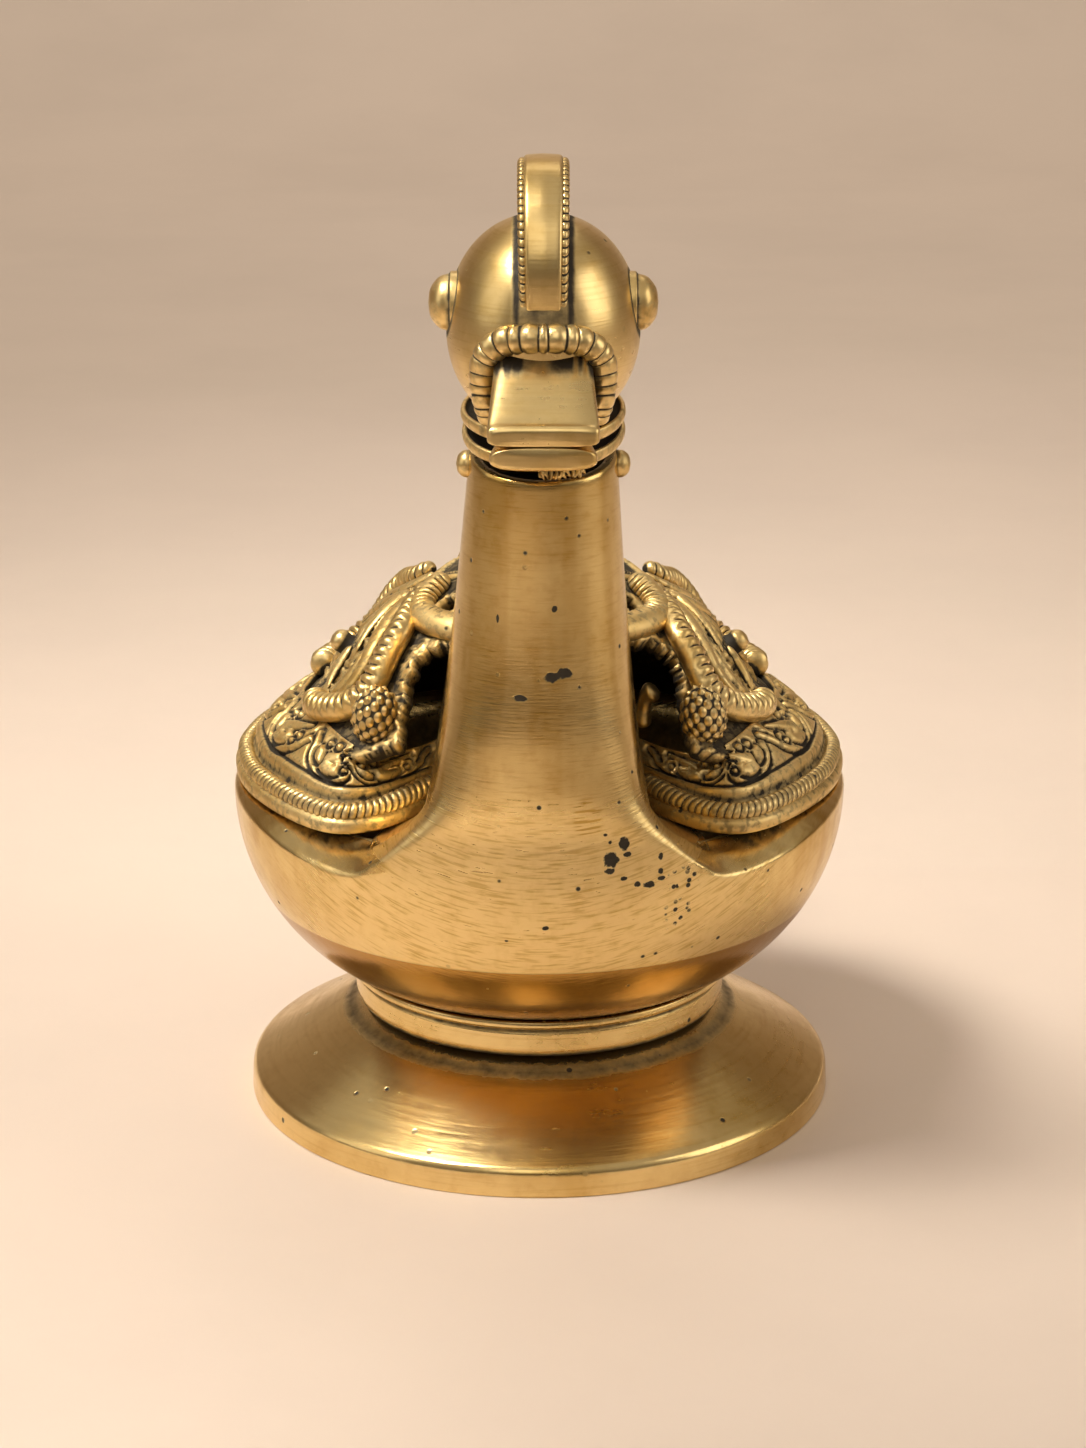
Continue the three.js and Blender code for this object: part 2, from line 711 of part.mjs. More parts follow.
// Slots in the dome's sides and small holes near its crown, the same left and right, front and back
const quarters = [1, -1].flatMap((side) => [0, 1].map((behind) => [side, behind]));
const turnTo = (azimuth, side, behind) => side * (behind ? Math.PI - azimuth : azimuth);
const slots = quarters.map(([side, behind]) => {
  const slot = rod(slotRadius, crownHolePlace, lidRadius, 10).scale(slotStretch, 1, 1).rotateX(Math.PI / 2);
  slot.rotateY(Math.PI / 2);
  return slot.rotateZ(turnTo(slotAzimuth, side, behind)).translate(0, 0, lidBottom + slotHeight);
});
const crownHoles = quarters.map(([side, behind]) => {
  const azimuth = turnTo(Math.PI / 2 - crownHoleAzimuth / 2, side, behind);
  const hole = rod(crownHoleRadius, lidBottom + lidRimHeight, crown.y + lidWall, 12);
  return hole.translate(crownHolePlace * Math.sin(azimuth), -crownHolePlace * Math.cos(azimuth), 0);
});

// The wall that stands round the notch from the rim up to the window's sill
const notchWall = turned([
  [notchRadius, lidBottom],
  [notchRadius + lidWall, lidBottom],
  [notchRadius + lidWall, sill],
  [notchRadius, sill],
]).translate(0, notchMiddle, 0);
const notchCut = notchPrism(0, lidBottom - clearance, sill + windowSpring);
const lidCuts = [frontWindow, backWindow, ...slots, ...crownHoles];
const lidShell = lidCuts.reduce((rest, cutter) => rest.subtract(solid(cutter)), solid(dome));
const lidSolid = lidShell
  .add(solid(notchWall).intersect(solid(domeFilled)))
  .subtract(solid(notchCut));
place('lid', lidSolid, castBrass, 0.38);

// Rope along the lid's rim, from one side of the neck round the back to the other
const ropeInset = borderRopeRadius + clearance;
const ropeLevel = lidBottom + lidRimHeight + borderRopeRadius + clearance;
const lobeArc = arcPoints(lobeX, lobeY, lobeRadius - ropeInset, lobeIn + borderRopeTurn, lobeOut, 6);
const backArc = arcPoints(0, 0, lidRadius - ropeInset, lobeOut, Math.PI - lobeOut, 40).slice(1, -1);
const otherLobe = lobeArc.map(([x, y]) => [-x, y]).reverse();
const ropePath = [...lobeArc, ...backArc, ...otherLobe].map(([x, y]) => new THREE.Vector3(x, y, ropeLevel));
const lidSkin = domeFilled.clone().translate(0, 0, clearance);
place('lid_rope_border', cut(wire(ropePath, borderRopeRadius, 60), lidSkin), wornBrass, 0.36);

// Ribbed vines that run down beside the windows and curl outwards above the brim
const vineRoute = [[0.84, 76], [0.7, 70], [0.52, 63], [0.36, 60], [0.24, 66], [0.2, 76]];
const corners = [['front_right', 1, 0], ['front_left', -1, 0], ['back_right', 1, 1], ['back_left', -1, 1]];
for (const [corner, side, behind] of corners) {
  const along = vineRoute.map(([share, degrees]) => {
    const azimuth = turnTo(THREE.MathUtils.degToRad(degrees), side, behind);
    return onLid(share, azimuth, vineRadius + clearance);
  });
  place(`lid_vine_${corner}`, cut(wire(along, vineRadius, 16), lidSkin), wornBrass, 0.36);
  const bud = new THREE.SphereGeometry(budRadius, 10, 8);
  bud.translate(...onLid(budShare, turnTo(budAzimuth, side, behind), budRadius / 2).toArray());
  place(`lid_bud_${corner}`, cut(bud, lidSkin, notchCut), wornBrass, 0.34);
}

// Round knobs on the dome's sides
for (const [name, side] of [['lid_knob_right', 1], ['lid_knob_left', -1]]) {
  const knob = new THREE.SphereGeometry(knobRadius, 10, 8);
  knob.translate(...onLid(knobShare, (side * Math.PI) / 2, knobRadius / 2).toArray());
  place(name, cut(knob, lidSkin), wornBrass, 0.34);
}

// Bars that follow the top of each window's arch, lying on the dome
function archBar(halfSpan, halfWidth, spring, archHeight) {
  const steps = 8;
  const searchStep = 0.002;
  const along = Array.from({ length: steps + 1 }, (_, i) => {
    const x = halfSpan * (1 - (2 * i) / steps);
    const level = spring + archLift + archHeight * Math.sqrt(1 - (x / (halfWidth + archLift)) ** 2);
    let share = brimShare;
    while (lidProfile(share).y < level) share += searchStep;
    const azimuth = Math.asin(x / lidProfile(share).x);
    return onLid(share, azimuth, archRadius + clearance);
  });
  return wire(along, archRadius, 14);
}
const frontBar = archBar(archHalfSpan, windowHalfWidth, sill + windowSpring, windowArchHeight);
place('lid_arch_front', cut(frontBar, lidSkin), castBrass, 0.36);
const backBar = archBar(backArchHalfSpan, backWindowHalfWidth, backSill, backArchHeight).rotateZ(Math.PI);
place('lid_arch_back', cut(backBar, lidSkin), castBrass, 0.36);

// Thumb tab on the sill beside the neck, used to lift the lid
const tabReach = notchRadius + lidWall / 2;
const tabBottom = sill + clearance;
const tabTop = tabBottom + tabHeight;
const tab = turned([
  [0, tabBottom],
  [tabFootRadius, tabBottom],
  [tabRadius, tabBottom + tabHeight / 2],
  [tabTipRadius, tabTop - tabTip],
  [0, tabTop],
], 12);
tab.translate(tabReach * Math.cos(tabAzimuth), notchMiddle + tabReach * Math.sin(tabAzimuth), 0);
place('lid_thumb_tab', tab, wornBrass, 0.32);

// Hinge: a knuckle on the lid between two lugs on the bowl, on one pin along X
const hinge = new THREE.Group();
hinge.position.set(0, hingePlace, hingeLevel);
part.add(hinge);
const fromHinge = (geometry) => geometry.translate(0, -hingePlace, -hingeLevel);
const pinBore = hingePinRadius + clearance;
const knuckleWeb = new THREE.BoxGeometry(knuckleLength, 2 * knuckleRadius, 2 * webHalfHeight);
knuckleWeb.translate(0, -knuckleRadius, 0);
const knuckleHole = crossRod(pinBore, -knuckleLength, knuckleLength);
const lidSide = fromHinge(rod(lidRadius + clearance, lidBottom - lidRimHeight, sill, fineSides));
const bowlSkin = fromHinge(bowlOutside(clearance));
const knuckle = solid(crossRod(knuckleRadius, -knuckleLength / 2, knuckleLength / 2))
  .add(solid(knuckleWeb))
  .subtract(solid(knuckleHole))
  .subtract(solid(lidSide))
  .subtract(solid(bowlSkin));
place('lid_knuckle', knuckle, castBrass, 0.36, hinge);

const lugMiddle = knuckleLength / 2 + clearance + lugThickness / 2;
const lugFoot = equator - hingeLevel - knuckleRadius;
for (const [name, side] of [['hinge_lug_left', -1], ['hinge_lug_right', 1]]) {
  const lugShape = new THREE.Shape();
  lugShape.absarc(0, 0, knuckleRadius, 0, Math.PI, false);
  lugShape.lineTo(-knuckleRadius, rimTop - hingeLevel);
  lugShape.lineTo(-2 * knuckleRadius, equator - hingeLevel);
  lugShape.lineTo(-2 * knuckleRadius, lugFoot);
  lugShape.lineTo(-knuckleRadius / 2, lugFoot);
  const lug = sidePlate(lugShape, lugThickness, side * lugMiddle);
  place(name, cut(lug, bowlSkin, crossRod(pinBore, -2 * lugMiddle, 2 * lugMiddle)), castBrass, 0.36, hinge);
}
const pinInside = lugMiddle + lugThickness / 2 + clearance;
const hingePinHalf = [
  [0, 0],
  [hingePinRadius, 0],
  [hingePinRadius, pinInside],
  [hingePinHeadRadius, pinInside],
  [hingePinHeadRadius * hammeredShare, pinInside + hingePinHeadHeight],
  [0, pinInside + hingePinHeadHeight],
];
const hingePinEnds = [-1, 1].map((side) => {
  return solid(turned(hingePinHalf, smallSides).rotateY((side * Math.PI) / 2));
});
place('hinge_pin', hingePinEnds[0].add(hingePinEnds[1]), castBrass, 0.34, hinge);

// Tail: an upswept fan, thick at the bowl and thin at its edge, as far behind as the bill is in front
const tailRoot = bowlRadius - tailRootInset;
const tailSteps = 8;
const fanLength = tailReach - tailRoot;
const tailSpread = tailTipHalfWidth - tailRootHalfWidth;
const tailRings = Array.from({ length: tailSteps + 1 }, (_, i) => {
  const share = Math.sin(((Math.PI / 2) * i) / tailSteps);
  const rounded = Math.sqrt(1 - Math.max(0, (share - fanTurn) / (1 - fanTurn)) ** 2 * fanRound);
  const halfWidth = (tailRootHalfWidth + tailSpread * share) * rounded;
  const half = (tailRootThickness + (tailTipThickness - tailRootThickness) * share) / 2;
  const y = tailRoot + fanLength * share;
  const z = equator - tailDrop + tailRise * share ** 2;
  return Array.from({ length: smallSides }, (_, k) => {
    const turn = (2 * Math.PI * k) / smallSides;
    return new THREE.Vector3(halfWidth * Math.cos(turn), y, z + half * Math.sin(turn));
  });
});
place('tail', cut(loft(tailRings), bowlOutside(clearance), ...rivetHoles), castBrass, 0.34);
for (const [name, side] of [['tail_rivet_left', -1], ['tail_rivet_right', 1]]) {
  const rivet = turned([
    [0, rivetHeadTop - rivetHeadHeight],
    [rivetHeadRadius * hammeredShare, rivetHeadTop - rivetHeadHeight],
    [rivetHeadRadius, rivetHeadTop],
    [rivetRadius, rivetHeadTop],
    [rivetRadius, rivetEnd],
    [0, rivetEnd],
  ], smallSides);
  place(name, onBowlBack(rivet, side), castBrass, 0.4);
}

// Wick holder: a turned stem with a small cup, and the cotton wick in its bore
const holderBottom = floorLevel + clearance;
const holderTop = holderBottom + holderHeight;
const wickBore = wickRadius + clearance;
const wickBottom = holderTop - wickDepth;
const wickTop = holderTop + wickShown;
const holder = turned([
  [0, holderBottom],
  [holderBaseRadius, holderBottom],
  [holderBaseRadius, holderBottom + holderBaseHeight],
  [holderStemRadius, holderBottom + 2 * holderBaseHeight],
  [holderStemRadius, holderTop - 2 * holderStemRadius],
  [holderCupRadius, holderTop],
  [wickBore, holderTop - holderStemRadius],
  [wickBore, wickBottom],
  [0, wickBottom],
], 18);
place('wick_holder', holder, castBrass, 0.36).position.y = holderPlace;
const wick = turned([
  [0, wickBottom + clearance],
  [wickRadius, wickBottom + clearance],
  [wickRadius, wickTop - wickTaper],
  [wickTipRadius, wickTop],
  [0, wickTop],
], 10);
const cotton = place('cotton_wick', wick, 0xe6dcc6, 0.95);
cotton.material.metalness = 0;
cotton.position.y = holderPlace;

export default part;
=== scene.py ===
"""Brass bird lamp: its visible pieces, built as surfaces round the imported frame.

Shape functions work in millimetres, +Z up, the bird looking along -Y. Pieces are written in metres.
"""

import math

import bpy
import numpy as np
from bpy.props import FloatProperty, FloatVectorProperty, PointerProperty
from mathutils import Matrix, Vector


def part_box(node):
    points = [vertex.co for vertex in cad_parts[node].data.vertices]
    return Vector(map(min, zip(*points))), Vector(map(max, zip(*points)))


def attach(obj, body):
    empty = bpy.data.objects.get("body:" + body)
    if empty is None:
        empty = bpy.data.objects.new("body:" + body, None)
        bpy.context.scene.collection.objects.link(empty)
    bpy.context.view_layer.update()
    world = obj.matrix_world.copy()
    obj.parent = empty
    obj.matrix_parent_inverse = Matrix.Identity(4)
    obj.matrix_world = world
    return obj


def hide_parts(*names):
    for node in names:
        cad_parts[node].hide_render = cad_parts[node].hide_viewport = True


bl_info = {
    "name": "Brass bird lamp",
    "version": (1, 0, 0),
    "blender": (4, 5, 0),
    "location": "View3D > Sidebar > Lamp",
    "description": "Builds a covered brass oil lamp in the shape of a bird",
    "category": "Add Mesh",
}

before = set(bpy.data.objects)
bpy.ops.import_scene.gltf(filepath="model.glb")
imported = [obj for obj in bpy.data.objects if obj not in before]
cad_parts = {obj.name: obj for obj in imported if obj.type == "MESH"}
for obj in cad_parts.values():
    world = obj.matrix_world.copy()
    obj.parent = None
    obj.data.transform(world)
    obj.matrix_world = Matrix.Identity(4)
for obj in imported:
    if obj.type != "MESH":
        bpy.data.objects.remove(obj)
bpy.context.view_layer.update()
MM = 0.001
FULL_TURN = 2 * np.pi
UP = np.array([0.0, 0.0, 1.0])


def node_corners(node):
    """Lowest and highest corner of a CAD node in millimetres."""
    low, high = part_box(node)
    return np.array(low) / MM, np.array(high) / MM


FOOT_RADIUS, FOOT_TOP = node_corners("foot")[1][[0, 2]].tolist()
COLLAR_BOTTOM = float(node_corners("foot_collar")[0][2])
COLLAR_RADIUS, COLLAR_TOP = node_corners("foot_collar")[1][[0, 2]].tolist()
BODY_BOTTOM = float(node_corners("body")[0][2])
LID_BOTTOM = float(node_corners("lid")[0][2])
HINGE_MIDDLE = sum(node_corners("hinge_pin")) / 2


# Settings

def length(label, text, default):
    """A length setting whose default is given in millimetres."""
    return FloatProperty(name=label, description=text, default=default * MM, unit="LENGTH", precision=5)


def angle(label, text, degrees):
    """An angle setting whose default is given in degrees."""
    return FloatProperty(name=label, description=text, default=math.radians(degrees), subtype="ANGLE")


def colour(label, text, default):
    """A colour setting, linear red, green and blue."""
    return FloatVectorProperty(
        name=label, description=text, default=default, subtype="COLOR", min=0.0, max=1.0)


class LampFootSettings(bpy.types.PropertyGroup):
    """Sizes of the foot and of the collar on it."""
    radius: length("Foot radius", "Radius of the foot on the table", FOOT_RADIUS)
    rim_height: length("Rim height", "Height of the foot's upright rim", 3.5)
    top_radius: length("Top radius", "Radius where the cone meets the collar", 22.5)
    wall: length("Wall", "Thickness of the cone", 2.8)
    land: length("Land", "Width of the ring that stands on the table", 4.0)
    collar_radius: length("Collar radius", "Radius of the collar's bead", COLLAR_RADIUS)
    collar_waist: length("Collar waist", "How far the collar stands in below its bead", 0.8)


class LampBodySettings(bpy.types.PropertyGroup):
    """Sizes of the bowl and of the neck that grows out of it."""
    bowl_radius: length("Bowl radius", "Radius at the widest level", 39.3)
    bowl_arc: length("Bowl arc", "Radius of the arc in the bowl's side", 26.4)
    equator: length("Widest level", "Height of the widest level above the table", 41.716)
    rim_level: length("Rim level", "Height of the bowl's rim", 42.75)
    wall: length("Wall", "Thickness of the bowl", 3.0)
    floor_level: length("Floor level", "Height of the bowl's floor", 21.7)
    neck_height: length("Neck height", "Length of the neck above the widest level", 50.7)
    neck_base: length("Neck base", "Neck radius at the widest level", 13.8)
    neck_top: length("Neck top", "Neck radius under the rings", 8.6)
    neck_inset: length("Neck inset", "How far the neck's front stands in from the bowl's", 0.02)
    neck_blend: length("Neck blend", "Reach of the fillet between the neck and the ledge", 5.5)
    ledge_blend: length("Ledge blend", "How much farther the fillet reaches outside the lid", 4.0)
    chest_flare: length("Chest flare", "How far the chest stands out beside the neck at the bowl", 1.7)
    chest_rise: length("Chest rise", "Height over which the chest's flare dies away", 7.0)
    chest_reach: length("Chest reach", "How far the uncut chest would pass the bowl's side", 8.0)
    lean: length("Lean", "How far the neck leans to the right at its top", 0.5)
    tilt: angle("Tilt", "Forward tilt of the neck's top", 11.0)


class LampHeadSettings(bpy.types.PropertyGroup):
    """Sizes of the head, crest and bill."""
    rise: length("Head rise", "From the neck's top to the middle of the head", 14.3)
    half_width: length("Half width", "Half of the head's width", 11.1)
    half_depth: length("Half depth", "Half of the head's depth", 12.5)
    crown: length("Crown", "Height of the head above its middle", 13.2)
    chin: length("Chin", "Depth of the head below its middle", 12.0)
    eye_radius: length("Eye radius", "Radius of each eye's boss", 3.45)
    crest_radius: length("Crest radius", "Radius of the crest's round plate", 12.55)
    crest_thickness: length("Crest thickness", "Thickness of the crest between its ropes", 4.6)
    bill_reach: length("Bill reach", "From the head's middle to the bill's tip", 20.7)
    bill_tip: length("Bill tip", "Half of the bill's width at its tip", 6.2)
    rope_radius: length("Rope radius", "Radius of the rope over the bill", 1.6)


class LampLidSettings(bpy.types.PropertyGroup):
    """Sizes of the pierced lid and its ornament."""
    radius: length("Lid radius", "Radius of the lid's rim", 39.2)
    bottom: length("Lid bottom", "Height of the lid's lower edge", LID_BOTTOM)
    wall: length("Wall", "Thickness of the dome", 2.0)
    brim_width: length("Brim width", "Width of the patterned brim at the sides", 8.9)
    sill: length("Sill", "Height of the brim's inner edge", 53.2)
    window_half: length("Window half width", "Half of the front window's width", 18.2)
    window_shift: length("Window shift", "How far the front window stands right of the middle", 0.7)
    window_height: length("Window height", "Height of the front window above the sill", 11.8)
    vine_radius: length("Vine radius", "Radius of the ribbed vines", 1.5)
    relief: length("Relief", "Depth of the engraved grooves in the brim", 0.62)


class LampFinishSettings(bpy.types.PropertyGroup):
    """Colours of the brass, its patina and painted shade, the cotton and the stage."""
    brass: colour("Brass", "Clean polished brass", (0.84, 0.63, 0.285))
    # Deep brass is also the tone of the neck's upright bands of painted reflection.
    brass_deep: colour("Deep brass", "Browner brass where the polish has dulled", (0.55, 0.345, 0.09))
    brass_amber: colour("Amber brass", "Old lacquer on the bowl's lower band", (0.44, 0.235, 0.05))
    # The patina colour is also the tone of all painted shade.
    patina_and_shade: colour("Patina", "Dark deposit in the hollows", (0.030, 0.022, 0.012))
    cotton: colour("Cotton", "Unbleached cotton", (0.80, 0.73, 0.60))
    floor: colour("Floor", "Pale table top", (0.76, 0.63, 0.52))


def sizes(group):
    """Lengths of a settings group in millimetres, and its angles in radians, by name."""
    found = {}
    for name in group.bl_rna.properties.keys():
        if name not in {"rna_type", "name"}:
            is_angle = group.bl_rna.properties[name].unit == "ROTATION"
            found[name] = getattr(group, name) / (1.0 if is_angle else MM)
    return found


# Curves and surfaces

def smooth_step(low, high, x):
    """Cubic step: 0 at low, 1 at high, level at both ends."""
    t = np.clip((x - low) / (high - low), 0.0, 1.0)
    return t * t * (3 - 2 * t)


def bell(x, middle, width):
    """Bell curve of height 1 at its middle."""
    return np.exp(-(((x - middle) / width) ** 2))


def unit(vectors):
    """Vectors scaled to length 1."""
    return vectors / np.linalg.norm(vectors, axis=-1, keepdims=True)


def run_length(path):
    """Length run along a path up to each of its points."""
    return np.r_[0.0, np.cumsum(np.linalg.norm(np.diff(path, axis=0), axis=1))]


def smooth_path(points, count):
    """Curve through points, sampled evenly: each stretch is a cubic of its four nearest points."""
    p = np.asarray(points, float)
    ends = np.vstack([2 * p[0] - p[1], p, 2 * p[-1] - p[-2]])
    t = np.linspace(0, 1, 24, endpoint=False)[None, :, None]
    a, b, c, d = (ends[i:len(p) - 1 + i][:, None] for i in range(4))
    curve = 0.5 * (2 * b + (c - a) * t + (2 * a - 5 * b + 4 * c - d) * t**2 + (3 * b - a - 3 * c + d) * t**3)
    curve = np.vstack([curve.reshape(-1, p.shape[1]), p[-1:]])
    run = run_length(curve)
    at = np.linspace(0, run[-1], count)
    return np.stack([np.interp(at, run, column) for column in curve.T], -1)


def rounded(corners, reach, step=0.8):
    """Outline through corners, each replaced by a quadratic curve that starts reach before it."""
    p = np.asarray(corners, float)
    inner = p[1:-1]
    back = p[:-2] - inner
    ahead = p[2:] - inner
    back_run = np.linalg.norm(back, axis=1, keepdims=True)
    ahead_run = np.linalg.norm(ahead, axis=1, keepdims=True)
    reach = np.broadcast_to(np.asarray(reach, float), len(inner))[:, None]
    cut = np.minimum(reach, 0.48 * np.minimum(back_run, ahead_run))
    start = (inner + back / back_run * cut)[:, None]
    end = (inner + ahead / ahead_run * cut)[:, None]
    t = np.linspace(0, 1, 7)[None, :, None]
    curve = (1 - t) ** 2 * start + 2 * t * (1 - t) * inner[:, None] + t**2 * end
    outline = np.vstack([p[:1], curve.reshape(-1, 2), p[-1:]])
    filled = []
    for a, b in zip(outline[:-1], outline[1:]):
        count = max(2, int(np.ceil(np.linalg.norm(b - a) / step)) + 1)
        filled.append(np.linspace(a, b, count)[:-1])
    return np.vstack([*filled, outline[-1:]])


def arc(middle, radius, start, end, count):
    """Points of a circle's arc in a plane, from one angle to another."""
    turn = np.linspace(start, end, count)
    return joined(middle[0] + radius * np.cos(turn), middle[1] + radius * np.sin(turn))


def ring_turns(sides):
    """Angles of evenly spaced places round a ring, as one row."""
    return np.linspace(0, FULL_TURN, sides, endpoint=False)[None, :]


def pole(ring):
    """A row of equal points in the middle of a ring, which closes the end of a grid."""
    return np.broadcast_to(ring.mean(axis=0), (1, *ring.shape))


def joined(*columns):
    """Coordinates spread to one common shape and stacked along a new last axis."""
    return np.stack(np.broadcast_arrays(*columns), -1)


def turned(outline, sides=192):
    """Outline of (radius, height) points carried round the Z axis: rows follow the outline."""
    turn = ring_turns(sides)
    radius = outline[:, :1]
    return joined(radius * np.cos(turn), radius * np.sin(turn), outline[:, 1:])


def along_x(points):
    """The same points with their axis turned from Z to X."""
    return points[..., [2, 0, 1]]


def tube(path, ups, width, height, sides=20, ribs=0.0, blunt=1.0):
    """Closed tube: path + side * width * cos + up * height * sin, grown by ribs, with rounded ends."""
    ahead = unit(np.gradient(path, axis=0))
    side = unit(np.cross(ahead, ups))
    up = np.cross(side, ahead)
    run = run_length(path)
    to_end = np.minimum(run, run[-1] - run)
    closing = np.sqrt(1 - (1 - np.clip(to_end / blunt, 0, 1)) ** 2)[:, None]
    turn = ring_turns(sides)
    width = np.broadcast_to(width, len(path))[:, None]
    height = np.broadcast_to(height, len(path))[:, None]
    swell = closing * (1 + ribs)
    across = (width * np.cos(turn) * swell)[..., None] * side[:, None]
    upward = (height * np.sin(turn) * swell)[..., None] * up[:, None]
    return path[:, None] + across + upward


def bead_wave(run, pitch):
    """Row of beads along a run: 0 in the creases between beads and 1 on top of them."""
    return np.abs(np.sin(np.pi * run / pitch)) ** 0.6


# Meshes

def grid_quads(rows, columns, ring=True, loop=False):
    """Corner numbers of a grid's quads; ring joins the last column to the first, loop the last row."""
    row = np.arange(rows if loop else rows - 1)[:, None]
    column = np.arange(columns if ring else columns - 1)[None, :]
    next_row = (row + 1) % rows
    next_column = (column + 1) % columns
    corners = [row * columns + column, row * columns + next_column,
               next_row * columns + next_column, next_row * columns + column]
    return joined(*corners).reshape(-1, 4)


def welded(points, quads):
    """Points merged where they coincide, with quads and triangles on the merged corners."""
    keys = np.round(points, 4)
    _, kept, number = np.unique(keys, axis=0, return_index=True, return_inverse=True)
    faces = number.reshape(-1)[quads]
    doubled = faces == np.roll(faces, -1, axis=1)
    count = doubled.sum(axis=1)
    return kept, faces[count == 0], faces[count == 1][~doubled[count == 1]].reshape(-1, 3)


def enclosed(points, quads, triangles):
    """Six times the volume inside a closed mesh; negative where its faces point inwards."""
    fan = np.vstack([quads[:, [0, 1, 2]], quads[:, [0, 2, 3]], triangles])
    a, b, c = (points[fan[:, i]] for i in range(3))
    return np.einsum("ij,ij->", a, np.cross(b, c))


def add_piece(name, points, quads, finish, body, nodes=(), patina_and_shade=0.0):
    """Writes a closed surface as a mesh piece that rides on a CAD body and stands for CAD nodes."""
    points = np.asarray(points, float).reshape(-1, 3)
    patina_and_shade = np.broadcast_to(patina_and_shade, len(points))
    kept, quads, triangles = welded(points, quads)
    points = points[kept]
    patina_and_shade = np.ascontiguousarray(patina_and_shade[kept], np.float32)
    if enclosed(points, quads, triangles) < 0:
        quads = quads[:, ::-1]
        triangles = triangles[:, ::-1]
    corners = np.concatenate([quads.ravel(), triangles.ravel()]).astype(np.int32)
    counts = np.concatenate([np.full(len(quads), 4), np.full(len(triangles), 3)])
    starts = np.concatenate([[0], np.cumsum(counts)[:-1]]).astype(np.int32)
    mesh = bpy.data.meshes.new(name)
    mesh.vertices.add(len(points))
    mesh.vertices.foreach_set("co", np.ascontiguousarray(points * MM, np.float32).ravel())
    mesh.loops.add(len(corners))
    mesh.loops.foreach_set("vertex_index", corners)
    mesh.polygons.add(len(starts))
    mesh.polygons.foreach_set("loop_start", starts)
    mesh.polygons.foreach_set("use_smooth", np.ones(len(starts), bool))
    mesh.update(calc_edges=True)
    if mesh.validate():
        raise RuntimeError(f"{name}: the mesh had faults")
    # The attribute holds how dark each point is painted: patina, char, and on some pieces painted shade.
    layer = mesh.attributes.new("patina_and_shade", "FLOAT", "POINT")
    layer.data.foreach_set("value", patina_and_shade)
    mesh.materials.append(finish)
    piece = bpy.data.objects.new(name, mesh)
    bpy.context.scene.collection.objects.link(piece)
    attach(piece, body)
    if nodes:
        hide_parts(*nodes)
    return piece


def add_grid(name, points, finish, body, nodes=(), patina_and_shade=0.0, loop=False):
    """Writes a grid whose columns close into rings as one piece."""
    rows, columns = points.shape[:2]
    patina_and_shade = np.broadcast_to(patina_and_shade, (rows, columns)).reshape(-1)
    return add_piece(name, points, grid_quads(rows, columns, loop=loop), finish, body, nodes, patina_and_shade)


# Finishes

class Signal:
    """One shader socket: expressions on signals and numbers add Math nodes to its tree."""

    def __init__(self, tree, socket=None):
        self.tree = tree
        self.socket = socket

    def node(self, kind, settings=None, output=0, **inputs):
        """Adds a node of a kind: settings are set first, then inputs by name or as i0, i1 and so on."""
        made = self.tree.nodes.new(kind)
        for key, value in (settings or {}).items():
            setattr(made, key, value)
        for key, value in inputs.items():
            number = key[1:]
            socket = made.inputs[int(number)] if key[0] == "i" and number.isdigit() else made.inputs[key]
            if isinstance(value, Signal):
                self.tree.links.new(value.socket, socket)
            else:
                socket.default_value = value
        return Signal(self.tree, made.outputs[output])

    def maths(self, operation, first, second=0.0):
        """A Math node on two signals or numbers."""
        return self.node("ShaderNodeMath", {"operation": operation}, i0=first, i1=second)

    def __add__(self, other):
        return self.maths("ADD", self, other)

    def __radd__(self, other):
        return self.maths("ADD", other, self)

    def __sub__(self, other):
        return self.maths("SUBTRACT", self, other)

    def __rsub__(self, other):
        return self.maths("SUBTRACT", other, self)

    def __mul__(self, other):
        return self.maths("MULTIPLY", self, other)

    def __rmul__(self, other):
        return self.maths("MULTIPLY", other, self)

    def __truediv__(self, other):
        return self.maths("DIVIDE", self, other)

    def __rtruediv__(self, other):
        return self.maths("DIVIDE", other, self)

    def clamped(self):
        """The signal held between 0 and 1."""
        return self.node("ShaderNodeClamp", Value=self)

    def step(self, low, high):
        """Smooth step of the signal from low to high; falls where low is above high."""
        kind = {"interpolation_type": "SMOOTHSTEP"}
        if low > high:
            return 1.0 - self.step(high, low)
        return self.node("ShaderNodeMapRange", kind, i0=self, i1=low, i2=high, i3=0.0, i4=1.0)

    def tint(self, low, high):
        """Mixes from one colour, or colour signal, to another by the signal."""
        low, high = (tone if isinstance(tone, Signal) else (*tone, 1.0) for tone in (low, high))
        return self.node("ShaderNodeMix", {"data_type": "RGBA"}, 2, i0=self, i6=low, i7=high)


def shaded(tone, share):
    """A colour made darker or lighter by a share."""
    return tuple(min(1.0, part * share) for part in tone)


def new_finish(name):
    """An empty node material, its Principled shader and a Signal to start from."""
    material = bpy.data.materials.new(name)
    material.use_nodes = True
    shader = material.node_tree.nodes["Principled BSDF"]
    return material, shader, Signal(material.node_tree)


def feed(shader, signals):
    """Links signals to a shader's inputs by name."""
    for name, signal in signals.items():
        signal.tree.links.new(signal.socket, shader.inputs[name])


def split_axes(start, where):
    """The three coordinates of a vector as signals."""
    return (start.node("ShaderNodeSeparateXYZ", None, axis, Vector=where) for axis in range(3))


def noise(start, where, scale, detail, roughness=0.5):
    """Noise at a scale, with finer and weaker layers."""
    return start.node("ShaderNodeTexNoise", Vector=where, Scale=scale, Detail=detail, Roughness=roughness)


